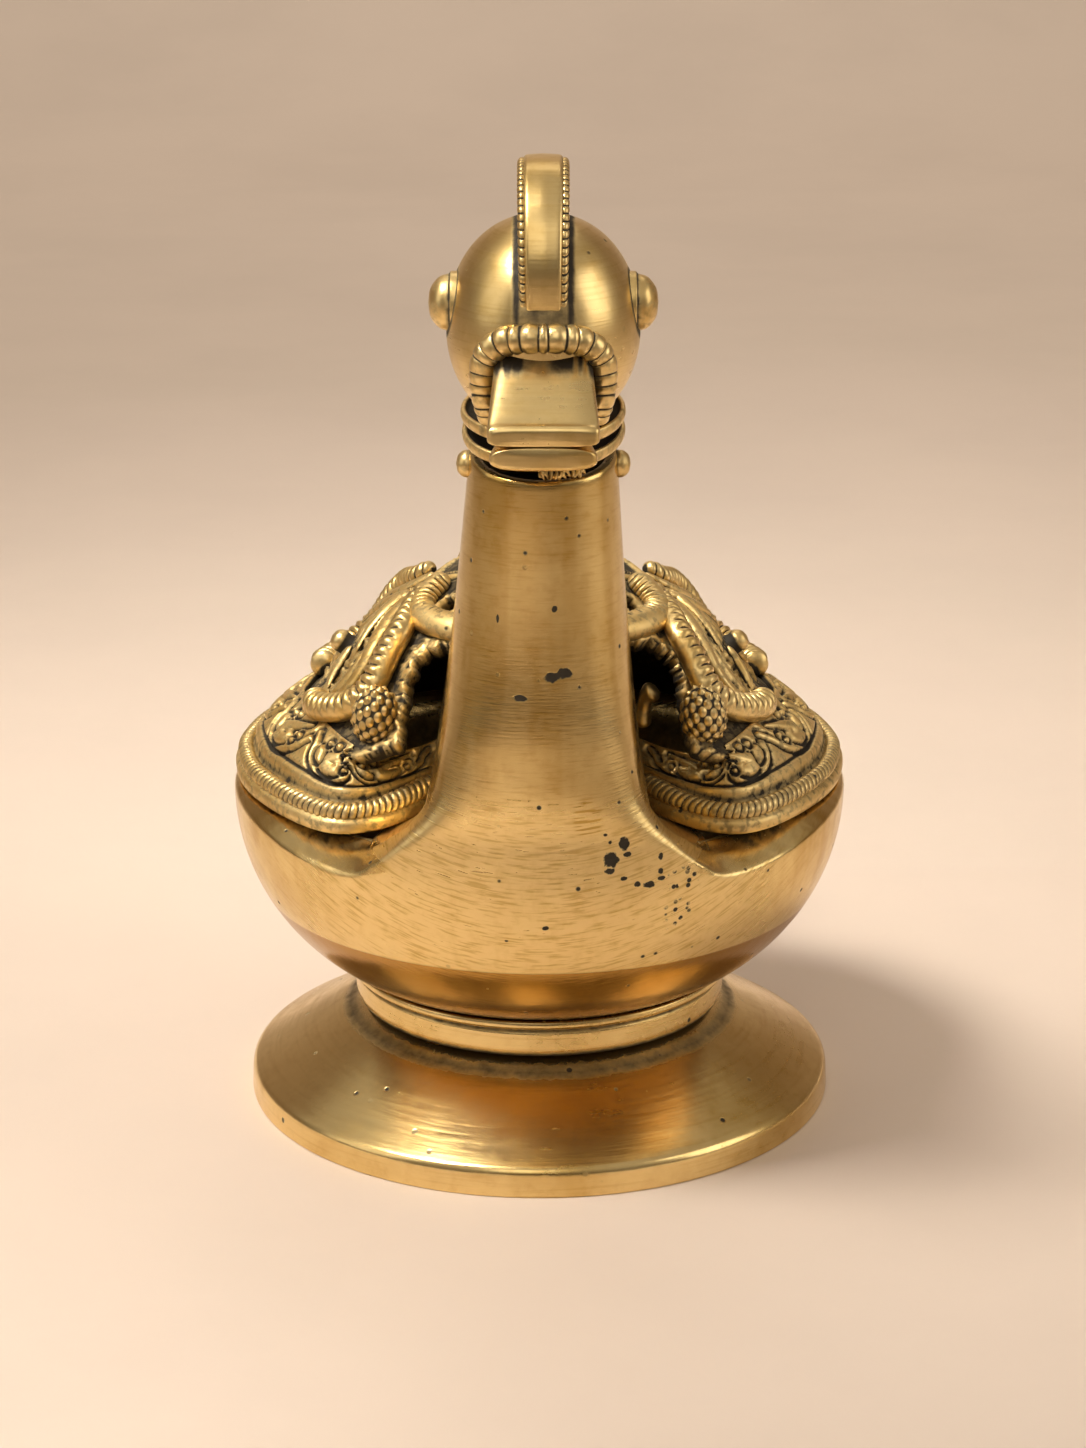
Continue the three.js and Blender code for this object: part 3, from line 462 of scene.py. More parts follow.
def scattered_dots(start, where, scale, radius, chosen):
    """Round dots in some cells of a random pattern: radius and choice each fade between two values."""
    cells = {"feature": "F1"}
    gap = start.node("ShaderNodeTexVoronoi", cells, 0, Vector=where, Scale=scale)
    tint = start.node("ShaderNodeTexVoronoi", cells, 1, Vector=where, Scale=scale)
    pick = start.node("ShaderNodeSeparateColor", Color=tint)
    return gap.step(*radius) * pick.step(*chosen)


def stretched(start, scale):
    """Object coordinates scaled by a different amount along each axis."""
    where = start.node("ShaderNodeTexCoord", output=3)
    return start.node("ShaderNodeMapping", Vector=where, Scale=scale)


# Pits and stain on the front as (x, height, half width, half height), how far forward they start, the
# levels of the brushed bowl and the tone of the burnt wick
CHEST_PITS = [
    (1.55, 67.3, 0.95, 0.6),
    (2.95, 67.7, 0.9, 0.64),
    (-2.2, 64.8, 0.85, 0.4),
    (-4.8, 74.1, 0.16, 0.5),
    (1.8, 75.5, 0.32, 0.4),
    (10.1, 46.3, 0.6, 0.95),
    (8.55, 44.4, 0.92, 1.0),
    (10.5, 44.9, 0.5, 0.34),
    (8.4, 43.0, 0.6, 0.4),
    (10.1, 41.9, 0.42, 0.3),
    (11.7, 41.0, 0.4, 0.36),
    (13.1, 40.8, 0.7, 0.45),
    (14.6, 41.4, 0.45, 0.3),
    (14.5, 44.2, 0.3, 0.45),
    (14.5, 42.3, 0.3, 0.4),
    (8.4, 46.6, 0.22, 0.22),
    (7.8, 47.6, 0.26, 0.2),
    (0.75, 35.8, 0.45, 0.3),
    (-3.9, 33.9, 0.25, 0.14),
]
PIT_PATCHES = [(17.3, 40.6, 2.1, 1.9), (16.7, 36.6, 1.8, 1.7)]
CHEST_STAIN = (5.8, 49.8, 1.6, 2.4)
CHEST_FRONT = (-18.0 * MM, -22.0 * MM)
BRUSHED_LOW = 28.8
BRUSHED_HIGH = 50.0
CHARRED = (0.035, 0.025, 0.02)


def oval_gap(x, z, oval):
    """Squared distance of a front surface from an oval's middle: 1 on the oval's edge."""
    across, height, wide, tall = (value * MM for value in oval)
    sideways = (x - across) / wide
    upwards = (z - height) / tall
    return sideways * sideways + upwards * upwards


def chest_marks(start, where, x, y, z):
    """Casting pits on the neck and chest: dark ovals with ragged edges, and patches of small dots."""
    ragged = noise(start, where, 1500.0, 3.0, 0.6)
    edge = (ragged - 0.5) * 2.2
    marks = ragged * 0.0
    for oval in CHEST_PITS:
        spot = (oval_gap(x, z, oval) + edge).step(1.15, 0.75)
        marks = marks.maths("MAXIMUM", marks, spot)
    dots = scattered_dots(start, where, 1150.0, (0.42, 0.28), (0.35, 0.45))
    for oval in PIT_PATCHES:
        marks = marks.maths("MAXIMUM", marks, dots * (oval_gap(x, z, oval) + edge).step(1.3, 0.5))
    return marks * y.step(*CHEST_FRONT)


def body_wear_and_painted_reflection(start, where, brush, cloud, layer):
    """Wear of the bowl and neck, with painted reflection: brush lines that rise towards both sides, the
    coarsely brushed part of the bowl, the band below it, casting pits, a brown stain, soft upright ripples
    and upright bands of painted reflection from the same ripples."""
    x, y, z = split_axes(start, where)
    bent = (z - x * x * z.step(62.0 * MM, 46.0 * MM) * 12.0) * brush[2]
    along = start.node("ShaderNodeCombineXYZ", X=x * brush[0], Y=y * brush[1], Z=bent)
    lines = noise(start, along, 1.0, 2.0)
    ripple_and_painted_reflection = noise(start, stretched(start, (230.0, 230.0, 14.0)), 1.0, 2.0)
    band = z.step((BRUSHED_LOW - 0.2) * MM, (BRUSHED_LOW + 0.2) * MM)
    level = z + (cloud - 0.5) * 6.0 * MM
    across = (x * x).step(0.00105, 0.00045) * layer.step(0.22, 0.08)
    coarse = band * level.step((BRUSHED_HIGH + 5.0) * MM, (BRUSHED_HIGH - 4.0) * MM) * across
    rubbed = (oval_gap(x, z, CHEST_STAIN) + (cloud - 0.5) * 1.5).step(1.6, 0.2)
    stain_and_painted_reflection = rubbed * lines.step(0.45, 0.62) * y.step(*CHEST_FRONT)
    stain_and_painted_reflection = stain_and_painted_reflection + coarse * lines.step(0.5, 0.68) * 0.4
    # Painted reflection: upright bands of darker tone from the ripple noise.
    stain_and_painted_reflection = stain_and_painted_reflection + ripple_and_painted_reflection.step(0.45, 0.62) * (1.0 - coarse) * 0.3
    return lines, coarse, 1.0 - band, chest_marks(start, where, x, y, z), stain_and_painted_reflection, ripple_and_painted_reflection


def brass_finish(name, roughness, brush, pits, dull, grain, dirt=0.0, worn=False):
    """Brass: tone clouds, patina and painted shade from the piece's own attribute, brush lines, pits and
    uneven gloss.

    Brush is how often the brush lines change along x, y and z; pits is the share of cells with a pit;
    dull, grain and dirt are the strengths of tarnish, bumps and specks. A worn body has more wear and upright
    bands of painted reflection."""
    found = bpy.data.materials.get(name)
    if found:
        return found
    tones = bpy.context.scene.lamp_finish
    material, shader, start = new_finish(name)
    where = start.node("ShaderNodeTexCoord", output=3)
    cloud = noise(start, where, 48.0, 4.0, 0.6)
    fine = noise(start, where, 520.0, 3.0, 0.65)
    mottle = noise(start, where, 1000.0, 2.0, 0.55)
    layer = start.node("ShaderNodeAttribute", {"attribute_name": "patina_and_shade"}, 2)
    if worn:
        lines, coarse, lower, marks, stain_and_painted_reflection, ripple_and_painted_reflection = body_wear_and_painted_reflection(start, where, brush, cloud, layer)
        dulled = cloud.step(0.30, 0.68) * dull * (1.0 - coarse * 0.9)
    else:
        lines = noise(start, stretched(start, brush), 1.0, 2.0)
        coarse = marks = stain_and_painted_reflection = ripple_and_painted_reflection = 0.0
        dulled = cloud.step(0.38, 0.72) * dull
    pit_scale = 640.0 if worn else 520.0
    pit = scattered_dots(start, where, pit_scale, (0.24, 0.12), (0.98 - pits, 1.02 - pits))
    # The attribute brings in patina and, on some pieces, painted shade.
    grime = (layer * 1.15 + (fine - 0.5) * 0.5 * layer.step(0.02, 0.3)).clamped()
    soil = (grime.step(0.12, 0.85) + pit + marks + mottle.step(0.48, 0.70) * dirt).clamped()
    tarnish_and_painted_reflection = (dulled + fine.step(0.45, 0.75) * 0.22 + lines.step(0.5, 0.7) * 0.2 + stain_and_painted_reflection).clamped()
    clean = tarnish_and_painted_reflection.tint(tones.brass, tones.brass_deep)
    if worn:
        clean = lower.tint(clean, tones.brass_amber)
    gloss = roughness + (cloud - 0.5) * 0.16 + (fine - 0.5) * 0.12 + soil * 0.35
    gloss = gloss + (lines - 0.5) * (0.10 + coarse * 0.3) + coarse * 0.17
    height = lines * (0.55 + coarse * 0.8) + ripple_and_painted_reflection * 2.6 + (fine + mottle * dirt) * grain
    height = height - (pit + marks) * 1.6 - grime * grain
    feed(shader, {
        "Base Color": soil.tint(clean, tones.patina_and_shade),
        "Roughness": gloss.clamped(),
        "Metallic": 1.0 - soil * 0.75,
        "Normal": start.node("ShaderNodeBump", Strength=0.22, Distance=0.00018, Height=height),
    })
    return material


def body_brass():
    """Brass of the bowl and neck in one casting, worn and pitted on its chest."""
    return brass_finish("body_brass_finish", 0.20, (300.0, 300.0, 3200.0), 0.05, 0.65, 0.25, worn=True)


def polished_brass():
    """Smooth brass of the foot, with fine level brush lines and scattered pits."""
    return brass_finish("polished_brass_finish", 0.23, (90.0, 90.0, 2600.0), 0.05, 0.7, 0.25)


def satin_brass():
    """Satin brass of the head, crest and bill, rubbed by hands and finely pitted."""
    return brass_finish("satin_brass_finish", 0.31, (90.0, 90.0, 2600.0), 0.08, 0.75, 0.35)


def turned_brass():
    """Brass left by the lathe: rings of fine lines round the axis."""
    return brass_finish("turned_brass_finish", 0.25, (70.0, 70.0, 3200.0), 0.02, 0.5, 0.2)


def cast_brass():
    """Duller cast brass of rings, hinge, tail and wick holder."""
    return brass_finish("cast_brass_finish", 0.40, (300.0, 300.0, 900.0), 0.07, 0.7, 0.7, 0.25)


def lid_brass():
    """Cast and chased brass of the lid, grainy, with grime in its hollows."""
    return brass_finish("lid_brass_finish", 0.46, (420.0, 420.0, 700.0), 0.05, 0.7, 0.9, 0.5)


def rope_brass():
    """Rubbed brass on ropes, vines, buds and knobs."""
    return brass_finish("rope_brass_finish", 0.34, (500.0, 500.0, 900.0), 0.03, 0.6, 0.7, 0.28)


def cotton_finish():
    """Unbleached cotton: soft fibres along the wick, browner towards its burnt end."""
    tones = bpy.context.scene.lamp_finish
    material, shader, start = new_finish("cotton_finish")
    fibre = noise(start, stretched(start, (2600.0, 2600.0, 500.0)), 1.0, 4.0)
    # On the wick the attribute holds how far it is charred.
    layer = start.node("ShaderNodeAttribute", {"attribute_name": "patina_and_shade"}, 2)
    char = (layer + (fibre - 0.5) * 0.4).step(0.25, 0.9)
    base = fibre.tint(shaded(tones.cotton, 0.72), tones.cotton)
    feed(shader, {
        "Base Color": char.tint(base, CHARRED),
        "Roughness": 0.85 + fibre * 0.1,
        "Normal": start.node("ShaderNodeBump", Strength=0.5, Distance=0.0002, Height=fibre),
    })
    return material


# Foot

def foot_outline(size):
    """Closed outline of the foot: upright rim, straight cone, screw hole and the hollow below."""
    top = FOOT_TOP
    slope = (top - size["rim_height"]) / (size["radius"] - size["top_radius"])
    inside = size["radius"] - size["land"]
    ceiling = top - size["wall"]
    land_top = size["rim_height"] + (size["radius"] - inside) * slope - size["wall"] * math.hypot(1, slope)
    hole = 2.3
    corners = [
        (size["radius"] - 0.6, 0.0),
        (size["radius"], 0.0),
        (size["radius"] - 0.15, size["rim_height"]),
        (size["top_radius"], top),
        (hole, top),
        (hole, ceiling),
        (inside - (ceiling - land_top) / slope, ceiling),
        (inside, land_top),
        (inside, 0.0),
        (size["radius"] - 0.6, 0.0),
    ]
    return rounded(corners, [0.35, 0.8, 0.5, 0.2, 0.2, 1.5, 1.5, 0.4])


def collar_outline(size):
    """Closed outline of the collar: an upright band, a crease and a rounded bead at its top."""
    low = COLLAR_BOTTOM
    high = COLLAR_TOP
    edge = size["collar_radius"]
    waist = edge - size["collar_waist"]
    bore = 8.3
    corners = [
        (bore, high), (bore, low), (waist - 0.3, low), (waist, low + 0.9), (waist - 0.1, high - 1.9),
        (waist - 0.45, high - 1.55), (edge, high - 0.95), (edge - 0.2, high), (bore, high),
    ]
    return rounded(corners, [0.2, 0.5, 0.6, 0.3, 0.3, 0.5, 0.4], 0.5)


class LAMP_OT_foot(bpy.types.Operator):
    """Builds the hollow foot, its collar and the screw and washer below."""
    bl_idname = "lamp.foot"
    bl_label = "Foot"

    def execute(self, context):
        size = sizes(context.scene.lamp_foot)
        outline = foot_outline(size)
        # Painted shade and dark painted reflection: a ring of the foot's top beside the collar is darkened.
        painted_shade_by_collar = smooth_step(2.2, 0.0, np.abs(outline[:, 0] - size["collar_radius"]))
        painted_shade_by_collar = painted_shade_by_collar * (outline[:, 1] > FOOT_TOP - 2.0)
        hollow = 0.55 * (outline[:, 1] > 0.2) * (np.arange(len(outline)) > len(outline) * 0.62)
        patina_and_shade = np.maximum(0.5 * painted_shade_by_collar, hollow)[:, None]
        cone = turned(outline, 256)
        add_grid("foot_cone", cone, polished_brass(), "lamp", ["foot"], patina_and_shade)
        outline = collar_outline(size)
        crease = bell(outline[:, 1], COLLAR_TOP - 1.6, 0.35) * 0.55
        under = smooth_step(1.0, 0.0, outline[:, 1] - COLLAR_BOTTOM) * 0.8
        patina_and_shade = np.maximum(crease, under)[:, None]
        band = turned(outline, 256)
        add_grid("collar_band", band, turned_brass(), "lamp", ["foot_collar"], patina_and_shade)
        self.add_fixings()
        return {"FINISHED"}

    def add_fixings(self):
        """Washer and slotted screw as turned outlines; the slot is a valley pressed across the head."""
        low, high = node_corners("foot_washer")
        hole = 2.3
        corners = [(hole, low[2]), (high[0], low[2]), (high[0], high[2]), (hole, high[2]), (hole, low[2])]
        ring = turned(rounded(corners, 0.25), 96)
        add_grid("washer_ring", ring, cast_brass(), "lamp", ["foot_washer"], 0.35)
        low, high = node_corners("foot_screw")
        head_top = low[2] + 2.4
        shank = 2.0
        corners = [(0, low[2]), (high[0], low[2]), (high[0], head_top), (shank, head_top), (shank, high[2]),
                   (0, high[2])]
        screw = turned(rounded(corners, 0.3, 0.25), 96)
        slot = smooth_step(0.62, 0.45, np.abs(screw[..., 1])) * (screw[..., 2] < low[2] + 1.0)
        screw[..., 2] += 1.1 * slot
        grime = 0.3 + 0.6 * slot
        add_grid("screw_slotted", screw, cast_brass(), "lamp", ["foot_screw"], grime)


# Bowl and neck

def rim_fall(azimuth):
    """How far the bowl's ridge lies below its rim: most beside the neck, little at the sides and in front."""
    turn = np.abs(azimuth)
    dip = 0.63
    return 0.35 + 2.6 * bell(turn, dip, np.where(turn < dip, 0.17, 0.46))


def rim_inset(fall):
    """How far the ledge above the ridge reaches inwards, from how far the ridge lies below the rim."""
    return 0.35 + 2.1 * (fall - 0.35)


def soft_max(a, b, reach):
    """Larger of two values, rounded off where they differ by less than reach."""
    return np.maximum(a, b) + np.clip(reach - np.abs(a - b), 0, None) ** 2 / (4 * reach)


def bowl_side(p, size):
    """Signed distance to the bowl's side: one arc below the widest level, upright above it."""
    across = np.hypot(p[..., 0], p[..., 1])
    arc_middle = size["bowl_radius"] - size["bowl_arc"]
    below = np.minimum(p[..., 2] - size["equator"], 0)
    return np.hypot(across - arc_middle, below) - size["bowl_arc"]


def ledge_gap(p, size):
    """Signed distance to the bowl's top: a bevel that dips beside the neck, and the level rim."""
    across = np.hypot(p[..., 0], p[..., 1])
    fall = rim_fall(np.arctan2(p[..., 0], -p[..., 1]))
    inset = rim_inset(fall)
    ridge = size["rim_level"] - fall
    bevel = ((across - size["bowl_radius"]) * fall + (p[..., 2] - ridge) * inset) / np.hypot(fall, inset)
    return soft_max(bevel, p[..., 2] - size["rim_level"], 0.3)


def neck_radius(height, size):
    """Neck radius at a height above the widest level: a straight taper with a slight waist."""
    share = np.clip(height / size["neck_height"], 0, 1.1)
    taper = size["neck_base"] + (size["neck_top"] - size["neck_base"]) * share
    return taper - 0.4 * np.sin(np.pi * np.minimum(share, 1))


def neck_front(height, size):
    """How far the neck's front line stands in from the bowl's widest circle at a height above it."""
    share = np.clip(height / size["neck_height"], 0, 1)
    return size["neck_inset"] + 0.8 * np.sin(np.pi * share) ** 2


def neck_middle(height, size):
    """Middle of the neck at a height: its front stays flush with the bowl, and it leans to the right."""
    below = np.minimum(height, 0)
    arc_middle = size["bowl_radius"] - size["bowl_arc"]
    depth = np.clip(size["bowl_arc"] ** 2 - below**2, 0, None)
    front = arc_middle + np.sqrt(depth) - neck_front(height, size)
    x = size["lean"] - 0.85 * (1 - np.clip(height / size["neck_height"], 0, 1))
    return x, neck_radius(np.maximum(height, 0), size) - front


def neck_gap(p, size):
    """Signed measure of the neck: round above, a squared oval that passes the bowl's side near the bowl."""
    height = p[..., 2] - size["equator"]
    above = np.maximum(height, 0)
    x, y = neck_middle(height, size)
    radius = neck_radius(above, size)
    behind = p[..., 1] - y
    in_front = smooth_step(6.0, -6.0, behind) * np.exp(np.minimum(height, 0) / 5.0)
    wide = radius + size["chest_flare"] * np.exp(-above / size["chest_rise"]) * in_front
    deep = radius + size["chest_reach"] * np.exp(-above / 10.0) * in_front
    power = 2 + 2.5 * np.exp(-above / 14.0) * in_front
    across = np.abs(p[..., 0] - x) / wide
    along = np.abs(behind) / deep
    return ((across**power + along**power) ** (1 / power) - 1) * radius


def body_gap(p, size):
    """Signed measure of bowl and neck: a fillet joins the ledge to the neck, and the bowl's side, carried
    upwards, cuts both off, so that the chest runs on from the bowl and has a crisp edge at the ledge."""
    height = p[..., 2] - size["equator"]
    above = np.maximum(height, 0)
    x, y = neck_middle(height, size)
    turn = np.abs(np.arctan2(p[..., 0] - x, y - p[..., 1]))
    reach = 0.5 + size["neck_blend"] * smooth_step(2.6, 1.75, turn)
    reach = reach + size["ledge_blend"] * smooth_step(33.5, 36.5, np.hypot(p[..., 0], p[..., 1]))
    ledge = ledge_gap(p, size)
    neck = neck_gap(p, size)
    both = -soft_max(-ledge, -neck, reach)
    clear = 6.0 * smooth_step(4.0, 26.0, above)
    wall = bowl_side(p, size) + neck_front(height, size) - clear
    return soft_max(both, wall, 0.5 + 4.5 * smooth_step(1.0, 16.0, above))


def solved(start, direction, low, high, size):
    """Points along rays where the body's surface is met, by halving the stretch from low to high."""
    low = np.full(start.shape[:-1], low)
    high = np.broadcast_to(high, start.shape[:-1]).copy()
    for _ in range(34):
        middle = (low + high) / 2
        inside = body_gap(start + middle[..., None] * direction, size) < 0
        low = np.where(inside, middle, low)
        high = np.where(inside, high, middle)
    return start + low[..., None] * direction


def carried_round(outline, outwards):
    """Outline of (radius, height) points carried round the Z axis along given level directions."""
    return outline[:, None, :1] * outwards + outline[:, None, 1:] * UP


def bowl_surface(size, columns=480):
    """Bowl: rays fanned out from the middle of its side's arc meet the blended surface, closer together
    in front; the inside and the underside are turned outlines joined to the first and last ray."""
    even = ring_turns(columns)
    turn = even - 0.5 * np.sin(even)
    outwards = joined(np.sin(turn), -np.cos(turn), 0.0)
    arc_middle = size["bowl_radius"] - size["bowl_arc"]
    base_radius = 24.7
    base = math.atan2(COLLAR_TOP + 0.3 - size["equator"], base_radius - arc_middle)
    mouth = math.atan2(size["rim_level"] - size["equator"], size["bowl_radius"] - size["wall"] - arc_middle)
    fan = np.r_[np.linspace(base, -0.12, 54), np.linspace(-0.115, mouth - 0.002, 40)][:, None, None]
    start = arc_middle * outwards + size["equator"] * UP
    start = np.broadcast_to(start, (len(fan), columns, 3))
    direction = np.cos(fan) * outwards + np.sin(fan) * UP
    outside = solved(start, direction, 10.0, 34.0, size)
    outside = np.vstack([outside, outside[-1:] * (0.9996, 0.9996, 1.0)])
    inner_arc = size["bowl_arc"] - size["wall"]
    floor = math.asin((size["floor_level"] - size["equator"]) / inner_arc)
    bottom = BODY_BOTTOM
    seat = COLLAR_TOP + 0.3
    under = np.array([(0, bottom), (7.5, bottom), (8, bottom + 0.5), (8, seat), (16, seat), (24.2, seat)])
    inside = np.vstack([
        arc((arc_middle, size["equator"]), inner_arc, -0.15, floor, 40),
        np.linspace((13.0, size["floor_level"]), (0, size["floor_level"]), 8),
    ])
    lower = carried_round(under, outwards)
    surface = np.vstack([lower, outside, carried_round(inside, outwards)])
    grime = np.zeros(surface.shape[:2])
    grime[len(lower) + len(outside):] = 0.45
    foot_line = smooth_step(1.6, 0.1, outside[..., 2] - seat)
    fall = rim_fall(np.mod(turn + np.pi, FULL_TURN) - np.pi)
    # Painted shadow of the lid: the ledge beside the neck is darkened above its ridge.
    painted_lid_shadow = smooth_step(0.8, 2.0, fall) * smooth_step(0.0, 0.5, outside[..., 2] - size["rim_level"] + fall)
    grime[len(lower):len(lower) + len(outside)] = np.maximum(0.5 * foot_line, 0.2 * painted_lid_shadow)
    return surface, grime


def neck_surface(size, columns=320):
    """Neck: level rays from its middle line meet the blended surface; its mouth is a lip and a recess."""
    turn = ring_turns(columns)
    outwards = joined(np.sin(turn), -np.cos(turn), 0.0)
    away = np.abs(np.mod(turn + np.pi, FULL_TURN) - np.pi)
    low = size["rim_level"] + 0.05 - 0.6 * smooth_step(1.0, 0.7, away)
    top = size["equator"] + size["neck_height"]
    x_top, y_top = neck_middle(size["neck_height"], size)
    edge_y = y_top - size["neck_top"] * np.cos(turn)
    edge = top + np.tan(size["tilt"]) * (edge_y - y_top) - 0.55
    share = np.linspace(0, 1, 110)[:, None] ** 1.7
    height = low + (edge - low) * share
    x, y = neck_middle(height - size["equator"], size)
    start = joined(x, y, height)
    reach = neck_radius(height - size["equator"], size) + 9.0
    skin = 0.02
    outside = solved(start, np.broadcast_to(outwards, start.shape), 2.0, reach, size) + skin * outwards
    edge_radius = np.hypot(outside[-1, :, 0] - x_top, outside[-1, :, 1] - y_top)[None, :]
    lip = np.array([(-0.1, 0.3), (-0.32, 0.45), (-0.75, 0.5), (-1.2, 0.45), (-1.45, 0.25), (-1.55, -0.3),
                    (-1.6, -2.4)])
    radius = np.vstack([edge_radius + lip[:, :1], np.zeros((1, columns))])
    rise = np.r_[lip[:, 1], -2.4][:, None]
    mouth = joined(x_top + radius * np.sin(turn), y_top - radius * np.cos(turn), edge + rise)
    foot = np.zeros((1, columns, 3))
    foot[..., 1] = y[0, 0]
    foot[..., 2] = size["rim_level"] - 1.0
    surface = np.vstack([foot, outside[:1] - (0, 0, skin), outside, mouth])
    grime = np.zeros(surface.shape[:2])
    grime[-4:] = 0.95
    grime[-7:-4] = 0.35
    return surface, grime


def deck_surface(size):
    """Deck under the neck and the lid's front edge: a plate ruled between the bowl's side and the mouth's
    edge; upright rays give its top, so that it follows the ledge and the neck's fillet."""
    turn = np.linspace(-1, 1, 301)[:, None]
    outer = 1.45 * turn
    wall = size["bowl_radius"] - 0.6
    rim = joined(wall * np.sin(outer), -wall * np.cos(outer))
    mouth = size["bowl_radius"] - size["wall"] + 0.2 - 3.1 * smooth_step(1.0, 0.85, np.abs(turn))
    edge = joined(mouth * np.sin(outer), -mouth * np.cos(outer))
    room = 19.0
    beside_neck = np.sqrt(np.clip(room**2 - edge[..., 0] ** 2, 0, None)) - 23.9
    edge[..., 1] = np.where(np.abs(edge[..., 0]) < room, np.maximum(beside_neck, edge[..., 1]), edge[..., 1])
    across = np.linspace(0, 1, 30)[None, :, None]
    plan = rim * (1 - across) + edge * across
    depth = 3.9
    low = np.concatenate([plan, np.full((*plan.shape[:2], 1), size["rim_level"] - depth)], -1)
    skin = 0.03
    top = solved(low, UP, 0.0, depth + 2.0, size) - (0, 0, skin)
    ring = np.concatenate([top, low[:, ::-1]], axis=1)
    # Painted shade: the deck darkens further in under the lid, and its underside is dark.
    painted_shade_under_lid = 0.2 + 0.2 * smooth_step(0.45, 0.8, across[0, :, 0])
    return np.vstack([pole(ring[0]), ring, pole(ring[-1])]), np.r_[painted_shade_under_lid, np.full(len(painted_shade_under_lid), 0.4)]


class LAMP_OT_body(bpy.types.Operator):
    """Builds the bowl, the deck under the neck and the neck."""
    bl_idname = "lamp.body"
    bl_label = "Bowl and neck"

    def execute(self, context):
        size = sizes(context.scene.lamp_body)
        pieces = {"bowl": bowl_surface, "bowl_deck": deck_surface, "neck": neck_surface}
        for name, shape in pieces.items():
            surface, grime = shape(size)
            add_grid(name, surface, body_brass(), "lamp", ["body"], grime)
        return {"FINISHED"}


# Neck rings, pin and head

def on_neck(points, size):
    """Points given on the neck's tilted top, placed in the frame: turned forward, then moved."""
    x, y = neck_middle(size["neck_height"], size)
    cosine = math.cos(size["tilt"])
    sine = math.sin(size["tilt"])
    back = points[..., 1] * cosine - points[..., 2] * sine
    up = points[..., 1] * sine + points[..., 2] * cosine
    return joined(points[..., 0] + x, back + y, up + size["equator"] + size["neck_height"])


def head_middle(body, head):
    """Middle of the head in the frame."""
    return on_neck(head["rise"] * UP, body)


class LAMP_OT_neck_rings(bpy.types.Operator):
    """Builds the two rings between neck and head, and the cross pin below them."""
    bl_idname = "lamp.neck_rings"
    bl_label = "Neck rings"

    def execute(self, context):
        size = sizes(context.scene.lamp_body)
        for name, low, wobble in (("lower", 1.35, 0.3), ("upper", 3.95, 1.9)):
            section = [(5.6, 0.9), (5.6, 0.35), (8.4, 0.0), (9.2, 0.25), (9.5, 1.0), (9.35, 1.75),
                       (8.95, 1.8), (8.55, 1.1), (7.4, 0.8), (5.6, 0.9)]
            corners = np.array(section) + (0, low)
            ring = turned(rounded(corners, [0.2, 0.6, 0.4, 0.5, 0.25, 0.25, 0.5, 0.5], 0.2), 176)
            turn = np.arctan2(ring[..., 1], ring[..., 0])
            uneven = 1 + 0.012 * np.sin(2 * turn + wobble) + 0.006 * np.sin(5 * turn + 2 * wobble)
            ring[..., :2] *= uneven[..., None]
            ring[..., 2] += 0.12 * np.sin(3 * turn + wobble)
            radius = np.hypot(ring[..., 0], ring[..., 1]) / uneven
            nicks = np.clip(np.sin(17 * turn + wobble) * np.sin(11 * turn), 0, 1)
            # Painted shade on the saucers' inner faces and undersides; the nicks are real wear.
            grime = np.maximum(smooth_step(9.1, 8.6, radius), 0.35 * nicks)
            node = f"collar_ring_{name}"
            ring = on_neck(ring, size)
            add_grid(f"{node}_bead", ring, cast_brass(), "lamp", [node], grime)
        self.add_crumbs(size)
        self.add_pin(size)
        return {"FINISHED"}

    def add_crumbs(self, size):
        """Solder left in the joint: a lumpy tube along the front of the gap under the lower ring."""
        turn = np.linspace(-0.08, 0.62, 110)
        path = joined(8.0 * np.sin(turn), -8.0 * np.cos(turn), 0.7 + 0.15 * np.sin(21 * turn))
        ups = np.broadcast_to(UP, path.shape)
        run = run_length(path)[:, None]
        around = ring_turns(18)
        lumps = 0.3 * np.sin(6.1 * run + np.cos(around)) * np.sin(3.7 * run + 2 * around)
        lumps = lumps + 0.18 * np.sin(13 * run)
        crumbs = tube(path, ups, 0.75, 0.75, 18, lumps, 0.7)
        grime = 0.8 * smooth_step(-0.05, -0.35, lumps)
        add_grid("neck_solder", on_neck(crumbs, size), rope_brass(), "lamp", (), grime)

    def add_pin(self, size):
        """Cross pin: a turned rod along X with a domed head on each end."""
        head = rounded([(0, 10.2), (1.1, 10.0), (1.65, 9.2), (1.6, 8.4), (1.2, 8.2), (1.2, 0)], 0.5, 0.25)
        outline = np.vstack([head, head[::-1] * (1, -1)])
        pin = along_x(turned(outline, 48))
        pin[..., 2] -= 1.75
        grime = 0.5 * smooth_step(9.0, 8.5, np.abs(pin[..., 0]))
        pin = on_neck(pin, size)
        add_grid("neck_pin_domed", pin, rope_brass(), "lamp", ["neck_pin"], grime)


